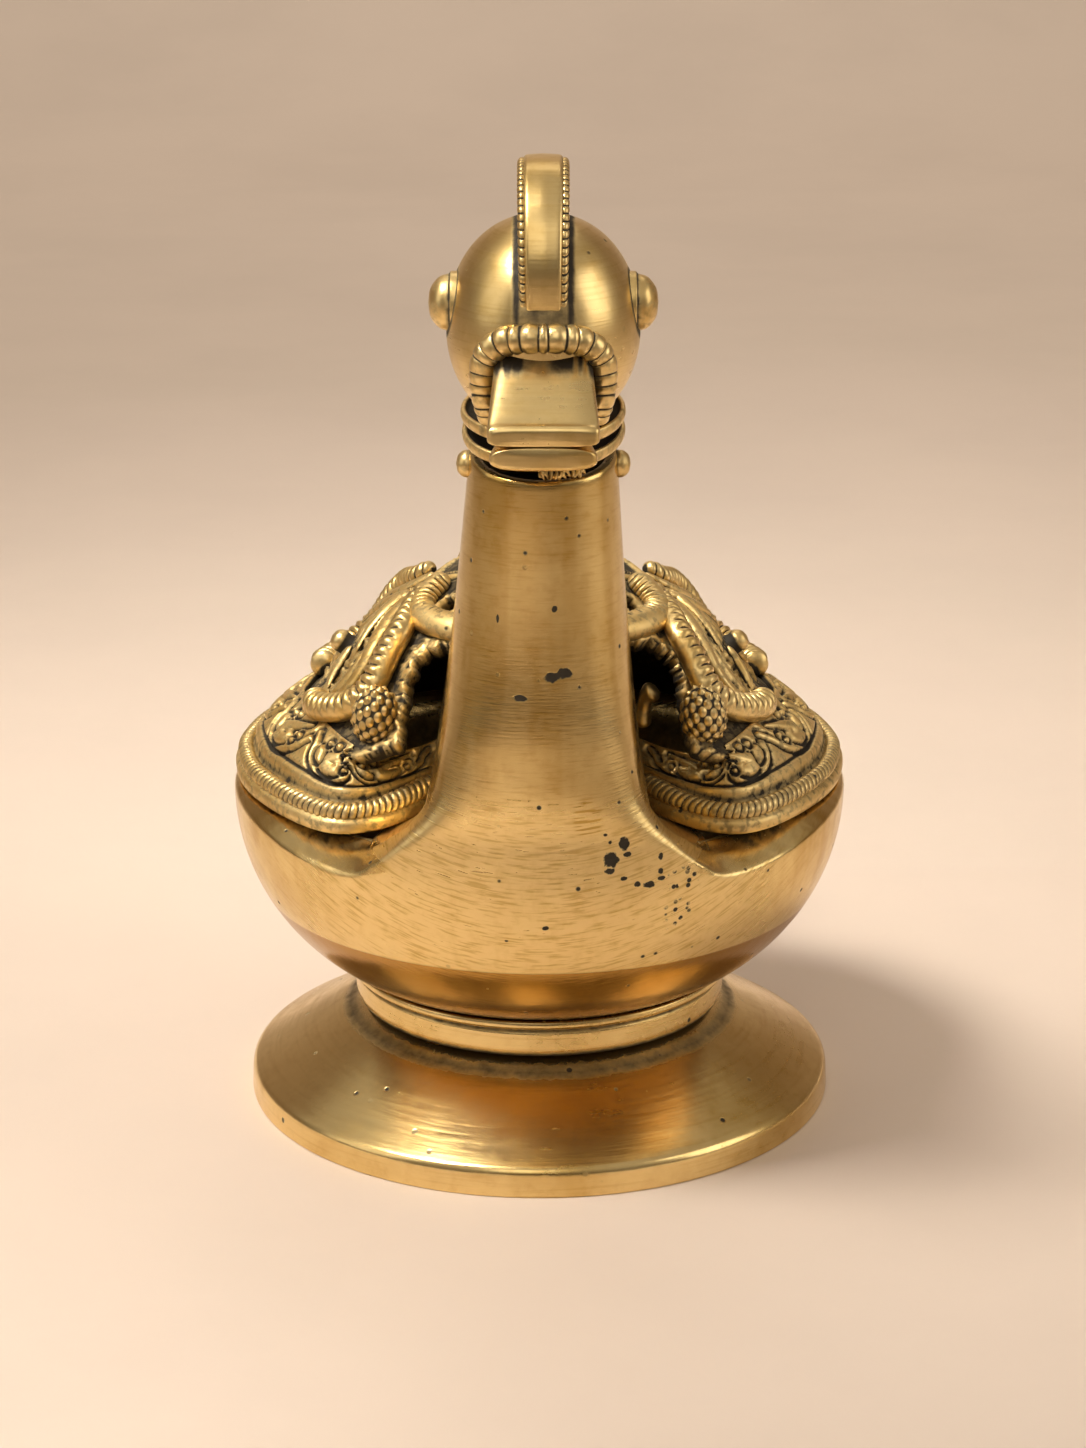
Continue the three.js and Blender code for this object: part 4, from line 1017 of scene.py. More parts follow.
def head_surface(body, head):
    """Head: an egg whose level and upright sections are slightly squared, flat where it meets the rings."""
    rise = np.linspace(-np.pi / 2, np.pi / 2, 120)[:, None]
    turn = ring_turns(180)
    up = np.sin(rise)
    level = np.cos(rise)
    squared = np.where(up > 0, (1 - np.abs(up) ** 2.18) ** (1 / 2.18), level)
    half = np.where(up > 0, head["crown"], head["chin"])
    across = head["half_width"] * squared
    along = head["half_depth"] * squared
    points = joined(across * np.sin(turn), -along * np.cos(turn), half * up)
    points = points + head_middle(body, head) + 0.8 * UP
    _, y = neck_middle(body["neck_height"], body)
    top = body["equator"] + body["neck_height"]
    seat = 5.4
    forward = math.sin(body["tilt"])
    upright = math.cos(body["tilt"])
    above = (points[..., 2] - top) * upright - (points[..., 1] - y) * forward - seat
    lift = np.clip(-above, 0, None)[..., None]
    return points + lift * np.array([0, -forward, upright])


EYE_PLACE = np.array([10.35, -0.7, 4.0])


class LAMP_OT_head(bpy.types.Operator):
    """Builds the head and its two domed eyes."""
    bl_idname = "lamp.head"
    bl_label = "Head"

    def execute(self, context):
        body = sizes(context.scene.lamp_body)
        head = sizes(context.scene.lamp_head)
        points = head_surface(body, head)
        middle = head_middle(body, head)
        local = points - middle
        crest_edge = np.abs(np.abs(local[..., 0]) - head["crest_thickness"] / 2 - 0.7)
        by_crest = smooth_step(0.9, 0.1, crest_edge) * (local[..., 2] > 1.0)
        brow = smooth_step(3.6, 1.8, np.hypot(local[..., 0] * 0.7, local[..., 2] - 3.6)) * (local[..., 1] < 0)
        eye = np.hypot(local[..., 1] - EYE_PLACE[1], local[..., 2] - EYE_PLACE[2])
        by_eye = smooth_step(0.8, 0.1, np.abs(eye - head["eye_radius"] - 0.15))
        grime = np.maximum.reduce([0.75 * by_crest, 0.55 * brow, 0.7 * by_eye])
        add_grid("head_egg", points, satin_brass(), "lamp", ["head"], grime)
        for name, side in (("eye_left", -1), ("eye_right", 1)):
            edge = head["eye_radius"]
            corners = [(0, 2.75), (1.7, 2.6), (3.0, 1.5), (edge - 0.2, 0.35), (edge + 0.1, 0.2),
                       (edge + 0.15, -1.2), (0, -1.2)]
            boss = turned(rounded(corners, [1.2, 1.1, 0.4, 0.15, 0.1], 0.3), 96)
            grime = bell(np.hypot(boss[..., 0], boss[..., 1]), edge - 0.1, 0.16) * 0.7
            boss = (along_x(boss) + EYE_PLACE) * (side, 1, 1) + middle
            add_grid(f"{name}_boss", boss, rope_brass(), "lamp", [name], grime)
        return {"FINISHED"}


class LAMP_OT_crest(bpy.types.Operator):
    """Builds the crest's round plate and the rope along each of its edges."""
    bl_idname = "lamp.crest"
    bl_label = "Crest"

    def execute(self, context):
        body = sizes(context.scene.lamp_body)
        head = sizes(context.scene.lamp_head)
        middle = head_middle(body, head) + np.array([0, 0.25, 8.1])
        half = head["crest_thickness"] / 2
        edge = head["crest_radius"]
        corners = [(0, -half), (edge - 1.2, -half), (edge - 0.15, -half + 0.1), (edge, 0),
                   (edge - 0.15, half - 0.1), (edge - 1.2, half), (0, half)]
        plate = along_x(turned(rounded(corners, 0.5, 0.4), 220))
        plate[..., 0] *= self.narrowing(plate)
        grime = smooth_step(0.5, 0.1, np.abs(np.abs(plate[..., 0]) - half)) * 0.4
        add_grid("crest_plate", plate + middle, satin_brass(), "lamp", ["crest"], grime)
        for name, side in (("crest_rope_left", -1), ("crest_rope_right", 1)):
            turn = np.linspace(-0.55, np.pi + 0.55, 520)
            radius = edge - 1.15
            path = joined(side * (half + 0.12), -radius * np.cos(turn), radius * np.sin(turn))
            path[:, 0] *= self.narrowing(path)
            ups = joined(0.0, -np.cos(turn), np.sin(turn))
            run = run_length(path)[:, None]
            around = ring_turns(16)
            wave = bead_wave(run + 0.35 * np.sin(around), 0.95)
            rope = tube(path, ups, 0.5, 0.66, 16, 0.26 * (wave - 0.6))
            grime = smooth_step(0.75, 0.25, wave) * 0.95
            add_grid(f"{name}_twist", rope + middle, rope_brass(), "lamp", [name], grime)
        return {"FINISHED"}

    def narrowing(self, points):
        """Share of the crest's full thickness: full at its top, narrower towards the bill."""
        return 0.9 + 0.1 * smooth_step(-9.0, 9.0, points[..., 2] + 0.4 * points[..., 1])


# Bill

def bill_half(sections, exponent=5.5, sides=96):
    """Loft of squared ellipses: each section is (forward, half width, top, bottom)."""
    turn = ring_turns(sides)
    power = 2 / exponent
    across = np.sign(np.cos(turn)) * np.abs(np.cos(turn)) ** power
    upward = np.sign(np.sin(turn)) * np.abs(np.sin(turn)) ** power
    forward, half, top, bottom = (column[:, None] for column in np.asarray(sections, float).T)
    z = (top + bottom) / 2 + (top - bottom) / 2 * upward
    return joined(half * across, -forward, z)


def blunt_sections(start, end, nose, top_draw, bottom_draw, steps=40):
    """Sections from start to end, the last stretch drawn in along a quarter ellipse of length nose; the
    draws are how far the tip's top and bottom come in."""
    start = np.asarray(start, float)
    end = np.asarray(end, float)
    share = np.linspace(0, 1, steps)[:, None]
    body = start + (end - start) * share
    close = np.linspace(0, np.pi / 2, 9)[1:, None]
    tip = np.repeat(end[None], len(close), axis=0)
    middle = (end[2] + end[3]) / 2
    tip[:, 0] = end[0] + nose * np.sin(close[:, 0])
    draw = 1 - np.cos(close[:, 0])
    tip[:, 1] = end[1] - nose * draw
    tip[:, 2] = end[2] - top_draw * draw
    tip[:, 3] = end[3] + bottom_draw * draw
    plug_in = np.array([[start[0], 0.0, middle, middle]])
    plug_out = np.array([[end[0] + nose, 0.0, middle, middle]])
    return np.vstack([plug_in, body, tip, plug_out])


class LAMP_OT_bill(bpy.types.Operator):
    """Builds the two halves of the bill and the rope arched over it."""
    bl_idname = "lamp.bill"
    bl_label = "Bill"

    def execute(self, context):
        body = sizes(context.scene.lamp_body)
        head = sizes(context.scene.lamp_head)
        middle = head_middle(body, head)
        reach = head["bill_reach"]
        tip = head["bill_tip"]
        nose = 0.8
        split = -8.2
        root = (6.5, 5.2, 4.1, split)
        end = (reach - nose, tip, -5.8, split)
        upper = bill_half(blunt_sections(root, end, nose, 0.8, 0.12))
        forward = -upper[..., 1]
        streak = np.sin(2.1 * upper[..., 0] + 0.8) * np.sin(3.3 * upper[..., 0] - 1.1)
        grime = np.clip(0.75 + 0.5 * streak, 0, 1) * smooth_step(15.6, 12.2, forward)
        grime = grime * (upper[..., 2] > split + 0.6)
        upper = upper + middle
        add_grid("bill_upper", upper, satin_brass(), "lamp", ["beak_upper"], grime)
        chin = split - 0.04
        root = (9.7, 4.6, chin, -10.3)
        end = (reach - nose, tip - 0.25, chin, -11.0)
        lower = bill_half(blunt_sections(root, end, nose, 0.12, 0.6), 3.2)
        grime = 0.45 * smooth_step(14.5, 12.0, -lower[..., 1])
        lower = lower + middle
        add_grid("bill_lower", lower, satin_brass(), "lamp", ["beak_lower"], grime)
        self.add_rope(head, middle)
        return {"FINISHED"}

    def add_rope(self, head, middle):
        """Rope over the bill: a beaded tube along an arch that lies on the head."""
        half_arch = [(0.0, 2.3), (2.6, 2.2), (4.9, 1.5), (6.5, -0.4), (6.9, -3.4), (6.5, -6.2), (5.9, -8.2)]
        arch = np.array([(-x, z) for x, z in half_arch[:0:-1]] + half_arch)
        plan = smooth_path(arch, 420)
        depth = np.where(plan[:, 1] > 0, head["crown"], head["chin"])
        inside = np.clip(1 - (plan[:, 0] / head["half_width"]) ** 2 - (plan[:, 1] / depth) ** 2, 0.05, 1)
        front = -head["half_depth"] * np.sqrt(inside) - 0.75
        path = joined(plan[:, 0], front, plan[:, 1])
        ups = unit(joined(plan[:, 0] * 0.4, front, plan[:, 1] * 0.4))
        run = run_length(path)
        along = np.abs(run - run[-1] / 2)[:, None]
        around = ring_turns(28)
        slant = 0.5 * smooth_step(5.0, 9.0, along) * np.sin(around)
        uneven = 0.16 * np.sin(1.7 * along + 0.6) + 0.1 * np.sin(3.9 * along)
        wave = bead_wave(along + 0.75 + slant + uneven, 1.48)
        deep = 0.2 - 0.08 * smooth_step(5.0, 9.0, along)
        radius = head["rope_radius"] * (1 - 0.16 * smooth_step(5.0, 13.0, along[:, 0]))
        rope = tube(path, ups, radius, radius, 28, deep * (wave - 0.65))
        grime = 0.8 * smooth_step(0.6, 0.15, wave)
        add_grid("bill_rope_beaded", rope + middle, rope_brass(), "lamp", ["beak_rope"], grime)


# Lid

# The dome's outline as (radius, height)
LID_DOME = [
    (31.2, 51.4), (30.4, 52.3), (28.0, 54.2), (25.6, 57.4), (22.8, 61.3), (20.2, 63.8), (17.1, 65.9),
    (13.3, 68.4), (10.0, 70.5), (5.0, 71.9), (0.0, 72.3),
]


def dome_curve(count=400):
    """Outline of the dome as (radius, height), with the outward direction at each point."""
    curve = smooth_path(LID_DOME, count)
    curve[:, 0] = np.maximum(curve[:, 0], 0)
    ahead = unit(np.gradient(curve, axis=0))
    return curve, joined(ahead[:, 1], -ahead[:, 0])


def on_dome(height, azimuth, lift=0.0):
    """Place and outward direction on the dome at a height and an azimuth from the front."""
    curve, out = dome_curve()
    rising = np.maximum.accumulate(curve[:, 1] + 1e-9 * np.arange(len(curve)))
    radius = np.interp(height, rising, curve[:, 0])
    out_r = np.interp(height, rising, out[:, 0])
    out_z = np.interp(height, rising, out[:, 1])
    normal = unit(joined(out_r * np.sin(azimuth), -out_r * np.cos(azimuth), out_z))
    place = joined(radius * np.sin(azimuth), -radius * np.cos(azimuth), height)
    return place + np.asarray(lift)[..., None] * normal, normal


# Half of the rim's outline as (x, y): the notch round the neck, then the lobe beside it
RIM_NOTCH = [(0.0, -9.4), (5.6, -9.9), (9.8, -12.3), (12.5, -16.3)]
RIM_LOBE = [
    (14.5, -19.4), (16.8, -22.5), (20.2, -25.6), (24.5, -26.6), (28.7, -24.0), (33.6, -17.4), (37.5, -9.2),
]


class RimOutline:
    """The lid's closed edge seen from above, the same on both sides: a notch round the neck, a lobe beside
    it, a flattened front and a half circle behind. It runs from the notch's middle along +X."""

    def __init__(self, size, count):
        quarter = np.linspace(0, np.pi / 2, 10)
        behind = size["radius"] * joined(np.cos(quarter), np.sin(quarter))
        half = np.vstack([RIM_NOTCH, RIM_LOBE, behind])
        closed = np.vstack([half, (half * (-1, 1))[-2:0:-1]])
        wrapped = np.vstack([closed[-3:], closed, closed[:4]])
        curve = smooth_path(wrapped, 4800)
        first = np.argmin(np.linalg.norm(curve[:1600] - closed[0], axis=1))
        last = 3200 + np.argmin(np.linalg.norm(curve[3200:] - closed[0], axis=1))
        curve = curve[first:last + 1]
        grown = run_length(curve)
        self.total = grown[-1]
        self.run = np.linspace(0, self.total, count, endpoint=False)
        self.edge = np.stack([np.interp(self.run, grown, column) for column in curve.T], -1)
        ahead = unit(np.roll(self.edge, -1, axis=0) - np.roll(self.edge, 1, axis=0))
        self.inwards = joined(-ahead[:, 1], ahead[:, 0])
        self.from_notch = np.minimum(self.run, self.total - self.run)
        self.notch_run = 19.0
        out = self.from_notch - self.notch_run
        near = 3.4 + 2.6 * smooth_step(-7.0, 5.0, out) + 1.0 * smooth_step(5.0, 15.0, out)
        self.width = near + (size["brim_width"] - 7.0) * smooth_step(13.0, 33.0, out)
        self.sill = size["sill"] - 1.2 * smooth_step(30.0, 2.0, out) - 1.7 * smooth_step(15.0, 1.0, out)
        self.tongue = 0.36 * smooth_step(4.0, 14.0, out)

    def sampled(self, values, run):
        """Values kept per edge point, read at other runs along the edge."""
        return np.interp(np.mod(run, self.total), np.r_[self.run, self.total], np.r_[values, values[0]])

    def at(self, run, inset):
        """Plan points at runs along the edge, moved inwards by an inset."""
        x, y, nx, ny = (self.sampled(c, run) for c in (*self.edge.T, *self.inwards.T))
        return joined(x + nx * inset, y + ny * inset)


# Where the patterned slope starts above and inside the rim, and one bend of its scroll: each point is
# (share of the bend along the rim, share of the way across, radius)
BRIM_FOOT = 3.75
BRIM_START = 2.6
SCROLL_PERIOD = 15.5
SCROLL_STEM = [
    (-0.52, 0.80, 0.5), (-0.42, 0.55, 0.5), (-0.34, 0.28, 0.5), (-0.16, 0.10, 0.5), (0.06, 0.08, 0.5),
    (0.24, 0.16, 0.5), (0.36, 0.36, 0.5), (0.42, 0.62, 0.5), (0.50, 0.84, 0.5),
]
SCROLL_CURL = [
    (-0.30, 0.86, 0.22), (-0.16, 0.72, 0.5), (0.02, 0.56, 0.85), (0.12, 0.42, 1.05), (0.10, 0.29, 1.0),
    (-0.01, 0.24, 0.85), (-0.10, 0.31, 0.7), (-0.09, 0.41, 0.55), (-0.03, 0.43, 0.4),
]
SCROLL_SPRIG = [(0.20, 0.30, 0.3), (0.26, 0.46, 0.85), (0.30, 0.62, 0.3)]
SCROLL_BEADS = [(0.22, 0.80, 0.42), (0.08, 0.86, 0.5), (-0.26, 0.5, 0.45), (-0.22, 0.34, 0.34)]


def brim_rise(share, sill, size):
    """Height of the brim: steep at the rim, flatter towards the dome, where it reaches the sill."""
    foot = size["bottom"] + BRIM_FOOT
    return foot + (sill - foot) * np.clip(share, 0, 1) ** 0.58


def on_brim(edge, run, share, size):
    """Points of the smooth brim at a run along the edge and a share of the way across it."""
    width = edge.sampled(edge.width, run)
    start = BRIM_START * np.clip(width / 6.0, 0.3, 1)
    plan = edge.at(run, start + (width - start) * share)
    return np.concatenate([plan, brim_rise(share, edge.sampled(edge.sill, run), size)[..., None]], -1)


def stroke_gap(points, spine, radius):
    """Distance from points to the nearest disc of a stroke, less that disc's radius."""
    apart = np.linalg.norm(points[:, None, :] - spine[None, :, :], axis=-1)
    return (apart - radius[None, :]).min(axis=1)


def carve(points, height, grime, strokes, depth, rise):
    """Engraves strokes one over another: each is a low swell outlined by a groove of that depth."""
    flat = points.reshape(-1, 3)
    level = height.reshape(-1)
    soil = grime.reshape(-1)
    for spine, radius in strokes:
        centre = spine.mean(axis=0)
        reach = np.linalg.norm(spine - centre, axis=1).max() + radius.max() + 1.2
        near = np.nonzero(np.linalg.norm(flat - centre, axis=1) < reach)[0]
        if not len(near):
            continue
        gap = stroke_gap(flat[near], spine, radius)
        weight = smooth_step(0.85, 0.5, gap)
        groove = bell(gap, 0.26, 0.24)
        swell = rise * smooth_step(0.05, -0.55, gap)
        level[near] += weight * (swell - depth * groove - level[near])
        soil[near] += weight * (0.95 * groove + 0.1 - soil[near])
    return level.reshape(height.shape), soil.reshape(grime.shape)


def brim_stroke(edge, size, middle, stretch, spine, samples):
    """One engraved stroke: the curve through a spine, laid on the brim round a middle run."""
    line = smooth_path(spine, samples)
    run = middle + stretch * line[:, 0]
    scale = np.clip(edge.sampled(edge.width, run) / 8.0, 0.45, 1.05)
    return on_brim(edge, run, 0.12 + 0.8 * line[:, 1], size), line[:, 2] * scale


def brim_motifs(edge, size):
    """Running scroll along the brim: a waving stem, a curled leaf in each bend, small leaves and beads."""
    first = edge.notch_run - 6.0
    last = edge.total - first
    count = int(round((last - first) / SCROLL_PERIOD))
    period = (last - first) / count
    beads = [([(along, up, radius), (along + 0.01, up, radius)], 2) for along, up, radius in SCROLL_BEADS]
    shapes = [(SCROLL_STEM, 40), (SCROLL_CURL, 36), (SCROLL_SPRIG, 14), *beads]
    strokes = []
    for number in range(count):
        middle = first + (number + 0.5) * period
        stretch = period if middle < (first + last) / 2 else -period
        strokes += [brim_stroke(edge, size, middle, stretch, *shape) for shape in shapes]
    return strokes


def brim_surface(edge, size):
    """Brim: one closed section carried round the edge. Up the outside it has a plain lip, the seat of
    the rope, a groove and the patterned slope; inside it follows the slope one wall below."""
    count = len(edge.run)
    width = edge.width[:, None]
    scale = np.clip(width / 6.0, 0.3, 1)
    low = size["bottom"]
    lip = np.array([(1.8, 0.05), (0.6, 0.0), (0.2, 0.15), (0.05, 0.4), (0.0, 0.9), (0.06, 1.4), (0.3, 1.75),
                    (1.1, 2.2), (1.8, 2.8), (2.4, 3.4)])
    share = np.linspace(0, 1, 58)[None, :]
    start = BRIM_START * scale
    slope_inset = start + (width - start) * share
    sill = edge.sill[:, None]
    slope_rise = brim_rise(share, sill, size)
    back = np.array([(0.30, -0.25), (0.34, -1.0), (0.0, -1.7)])
    under_share = np.linspace(0.85, 0.12, 9)[None, :]
    under_inset = start + (width - start) * under_share + 0.9 * scale
    under_rise = brim_rise(under_share, sill, size) - 1.9
    inset = np.hstack([lip[None, :, 0] * scale, slope_inset, width + back[None, :, 0] * scale, under_inset,
                       np.broadcast_to(2.6 * scale, (count, 1))])
    rise = np.hstack([np.broadcast_to(low + lip[:, 1], (count, len(lip))), slope_rise,
                      sill + back[None, :, 1], under_rise,
                      np.full((count, 1), low + 0.05)])
    rise[:, 0] -= edge.tongue
    rise[:, -1] -= edge.tongue
    plan = edge.edge[:, None] + edge.inwards[:, None] * inset[..., None]
    points = np.concatenate([plan, rise[..., None]], -1)
    first = len(lip)
    on_slope = slice(first, first + share.size)
    slope = points[:, on_slope]
    level = np.zeros(slope.shape[:2])
    grime = np.full(slope.shape[:2], 0.12)
    strokes = brim_motifs(edge, size)
    level, grime = carve(slope, level, grime, strokes, size["relief"], 0.22)
    border = smooth_step(0.11, 0.07, share)
    border_groove = bell(share, 0.135, 0.022)
    out = edge.from_notch - edge.notch_run
    open_band = smooth_step(-8.0, -3.0, out)[:, None]
    # Painted light: the brim beside the neck keeps less of its darkening, so it reads lighter.
    grime = grime * (1 - 0.4 * smooth_step(16.0, 2.0, out)[:, None])
    level = level * (1 - border) + 0.12 * border - 0.5 * border_groove * open_band
    grime = grime * (1 - border) + 0.9 * border_groove * open_band
    sill_band = smooth_step(0.93, 0.97, share)
    level = level * (1 - sill_band) + 0.1 * sill_band
    grime = grime * (1 - sill_band)
    edge_groove = smooth_step(0.035, 0.0, share)
    level = level - 0.1 * edge_groove
    grime = np.maximum(grime, 0.55 * edge_groove)
    ahead = np.gradient(slope, axis=1)
    sideways = np.roll(slope, -1, axis=0) - np.roll(slope, 1, axis=0)
    normal = unit(np.cross(sideways, ahead))
    normal *= np.sign(normal[..., 2:])
    points[:, on_slope] += level[..., None] * normal
    soil = np.full(points.shape[:2], 0.8)
    soil[:, :first] = np.r_[0.6, 0.4, 0.1, 0.0, 0.02, 0.1, 0.25, 0.4, 0.5, 0.45][None, :]
    soil[:, on_slope] = grime
    return np.swapaxes(points, 0, 1), soil.T


# The dome's back window, side slots and crown holes
BACK_HALF = 11.0
BACK_SILL = 56.4
BACK_HEIGHT = 9.0
SLOT_TURN = 78.5
SLOT_LEVEL = 58.0
SLOT_HALF = 2.7
HOLE_PLACE = (11.8, 9.2)
HOLE_RADIUS = 1.55
PETALS = 12


def window_gap(points, size):
    """Signed measure of the dome's openings: positive on metal, negative inside windows, slots and holes."""
    x, y, z = points[..., 0], points[..., 1], points[..., 2]
    rough = 0.16 * np.sin(2.9 * x + 1.3 * z) + 0.12 * np.sin(4.7 * z - 2.1 * x + 1.0)
    rough = rough + 0.08 * np.sin(9.1 * x + 7.3 * z)
    rise = np.clip(z - size["sill"], 0, None)
    half = size["window_half"] - 0.13 * rise
    front = (np.abs(x - size["window_shift"]) / half) ** 5 + (rise / size["window_height"]) ** 5
    front = (front ** (1 / 5) - 1) * half + rough + 60.0 * (y > 0)
    back = (np.abs(x) / BACK_HALF) ** 4 + (np.clip(z - BACK_SILL, 0, None) / BACK_HEIGHT) ** 4
    back = (back ** 0.25 - 1) * 10.0 + 0.7 * rough + 60.0 * (y < 0)
    back = np.maximum(back, BACK_SILL - z)
    gap = np.minimum(front, back)
    azimuth = np.abs(np.arctan2(x, np.abs(y)))
    above = z - SLOT_LEVEL
    slot_across = (azimuth - np.radians(SLOT_TURN) + 0.012 * above) * np.hypot(x, y)
    slot = np.hypot(slot_across, above * 1.15 / SLOT_HALF) - 1 + 0.5 * rough
    hole = np.hypot(np.abs(x) - HOLE_PLACE[0], np.abs(y) - HOLE_PLACE[1]) - HOLE_RADIUS
    from_front = np.abs(np.arctan2(x, -y))
    skirt = z - 50.0 - 3.5 * smooth_step(0.92, 0.66, from_front)
    return np.minimum.reduce([gap, slot, hole, skirt])


# The lid's four quarters: name, side, and whether it lies behind
CORNERS = (
    ("front_right", 1, False), ("front_left", -1, False), ("back_right", 1, True), ("back_left", -1, True),
)


def corner_turn(degrees, side, behind):
    """Azimuth of a place given for the front right quarter, mirrored to another quarter."""
    return side * np.radians(180 - degrees if behind else degrees)


def dome_strokes():
    """Leaves engraved on the dome, the same left and right, front and back, and petals round its crown."""
    spines = [
        ([(70.2, 66), (68.0, 86), (65.0, 84), (62.6, 78)], (0.3, 0.9, 1.0, 0.3)),
        ([(66.4, 90), (63.4, 88), (60.6, 86)], (0.4, 1.1, 0.3)),
        ([(62.2, 72), (59.4, 71), (56.6, 73), (54.6, 76)], (0.3, 0.8, 0.9, 0.3)),
        ([(57.2, 88), (55.4, 82), (54.2, 86)], (0.4, 0.9, 0.3)),
        ([(59.0, 64), (57.0, 62), (55.2, 64)], (0.3, 0.7, 0.3)),
    ]
    strokes = []
    for spine, radius in spines:
        line = smooth_path(np.column_stack([np.array(spine, float), radius]), 26)
        for _, side, behind in CORNERS:
            turn = corner_turn(line[:, 1], side, behind)
            strokes.append((on_dome(line[:, 0], turn)[0], line[:, 2]))
    curve, _ = dome_curve()
    reach = np.linspace(2.2, 8.2, 18)
    height = np.interp(reach, curve[::-1, 0], curve[::-1, 1])
    radius = 0.25 + 1.25 * np.sin(np.pi * np.linspace(0.05, 1, 18)) ** 0.8
    for petal in range(PETALS):
        turn = (petal + 0.5) * FULL_TURN / PETALS
        strokes.append((joined(reach * np.sin(turn), -reach * np.cos(turn), height), radius))
    return strokes


def dome_surface(size, columns=400, rows=110):
    """Dome: a turned wall with openings. Cells inside an opening are left out, and the corners beside
    it are drawn onto its edge; the inner face copies the outer one, one wall below."""
    curve, out = dome_curve(rows)

    def place(row, column, lift):
        """Points at grid places, which may lie between rows and columns."""
        steps = np.arange(rows)
        radius = np.interp(row, steps, curve[:, 0]) + lift * np.interp(row, steps, out[:, 0])
        height = np.interp(row, steps, curve[:, 1]) + lift * np.interp(row, steps, out[:, 1])
        radius = np.maximum(radius, 0)
        around = column * FULL_TURN / columns
        return joined(radius * np.sin(around), -radius * np.cos(around), height)

    row, column = np.indices((rows, columns), float)
    gap = window_gap(place(row, column, 0.0), size)
    quads = grid_quads(rows, columns)
    solid = gap.reshape(-1)[quads].mean(axis=1) > 0
    kept = quads[solid]
    uses_kept = np.bincount(kept.ravel(), minlength=rows * columns)
    uses_all = np.bincount(quads.ravel(), minlength=rows * columns)
    rim = ((uses_kept > 0) & (uses_kept < uses_all)).reshape(rows, columns)
    for _ in range(4):
        small = 0.05
        here = window_gap(place(row, column, 0.0), size)
        by_row = (window_gap(place(row + small, column, 0.0), size) - here) / small
        by_column = (window_gap(place(row, column + small, 0.0), size) - here) / small
        slope = np.maximum(by_row**2 + by_column**2, 1e-4)
        row = np.where(rim, row - np.clip(here * by_row / slope, -0.35, 0.35), row)
        column = np.where(rim, column - np.clip(here * by_column / slope, -0.35, 0.35), column)
    row = np.clip(row, 0, rows - 1)
    outer = place(row, column, 0.0)
    inner = place(row, column, -size["wall"])
    level = np.full((rows, columns), -0.12)
    grime = np.full((rows, columns), 0.62)
    level, grime = carve(outer, level, grime, dome_strokes(), 0.5, 0.35)
    near_edge = smooth_step(1.3, 0.2, window_gap(outer, size))
    crumbs = np.random.default_rng(7).normal(0.0, 1.0, (rows, columns))
    crumbs = 0.6 * crumbs + 0.4 * np.roll(crumbs, 1, axis=1) + 0.3 * np.roll(crumbs, 1, axis=0)
    level = level + near_edge * (0.12 + 0.2 * crumbs)
    grime = grime * (1 - near_edge) + near_edge * np.clip(0.16 - 0.4 * crumbs, 0, 0.95)
    normal = unit(outer - place(row, column, -1.0) + 1e-9)
    outer = outer + level[..., None] * normal
    face_edges = np.concatenate([kept[:, [0, 1]], kept[:, [1, 2]], kept[:, [2, 3]], kept[:, [3, 0]]])
    key = face_edges.min(axis=1) * rows * columns + face_edges.max(axis=1)
    _, first, count = np.unique(key, return_index=True, return_counts=True)
    border = face_edges[first[count == 1]]
    border = border[~((border // columns) == rows - 1).all(axis=1)]
    shift = rows * columns
    walls = np.column_stack([border[:, 1], border[:, 0], border[:, 0] + shift, border[:, 1] + shift])
    faces = np.vstack([kept, kept[:, ::-1] + shift, walls])
    points = np.vstack([outer.reshape(-1, 3), inner.reshape(-1, 3)])
    soil = np.concatenate([grime.ravel(), np.full(shift, 0.72)])
    used = np.unique(faces)
    renumber = np.zeros(len(points), int)
    renumber[used] = np.arange(len(used))
    return points[used], renumber[faces], soil[used]


class LAMP_OT_lid_shell(bpy.types.Operator):
    """Builds the lid's patterned brim and its pierced dome."""
    bl_idname = "lamp.lid_shell"
    bl_label = "Lid shell"

    def execute(self, context):
        size = sizes(context.scene.lamp_lid)
        edge = RimOutline(size, 1100)
        surface, soil = brim_surface(edge, size)
        add_grid("lid_brim", surface, lid_brass(), "lid", ["lid"], soil, loop=True)
        points, quads, soil = dome_surface(size)
        add_piece("lid_dome", points, quads, lid_brass(), "lid", ["lid"], soil)
        return {"FINISHED"}


class LAMP_OT_lid_rope(bpy.types.Operator):
    """Builds the ribbed rope along the lid's rim."""
    bl_idname = "lamp.lid_rope"
    bl_label = "Lid rope"

    def execute(self, context):
        size = sizes(context.scene.lamp_lid)
        edge = RimOutline(size, 1100)
        start = edge.notch_run - 4.0
        run = np.linspace(start, edge.total - start, 2600)
        to_end = np.minimum(run - run[0], run[-1] - run)
        near_neck = smooth_step(12.0, 1.0, to_end)
        plan = edge.at(run, 1.4 - 0.5 * near_neck)
        height = size["bottom"] + 2.65 + 0.5 * near_neck
        path = np.column_stack([plan, height])
        outwards = edge.at(run, 0.0) - edge.at(run, 1.0)
        ups = unit(np.column_stack([outwards, np.full(len(run), 0.85)]))
        around = ring_turns(18)
        wave = bead_wave(run[:, None] + 0.35 * np.cos(around), 1.08)
        worn = smooth_step(0.25, 0.6, run / run[-1])[:, None]
        depth = 0.34 - 0.12 * (1 - worn)
        rope = tube(path, ups, 1.02 + 0.2 * near_neck, 0.9, 18, depth * (wave - 0.6))
        grime = 0.24 + smooth_step(0.62, 0.1, wave) * 0.6
        add_grid("lid_rope_ribbed", rope, rope_brass(), "lid", ["lid_rope_border"], grime)
        return {"FINISHED"}


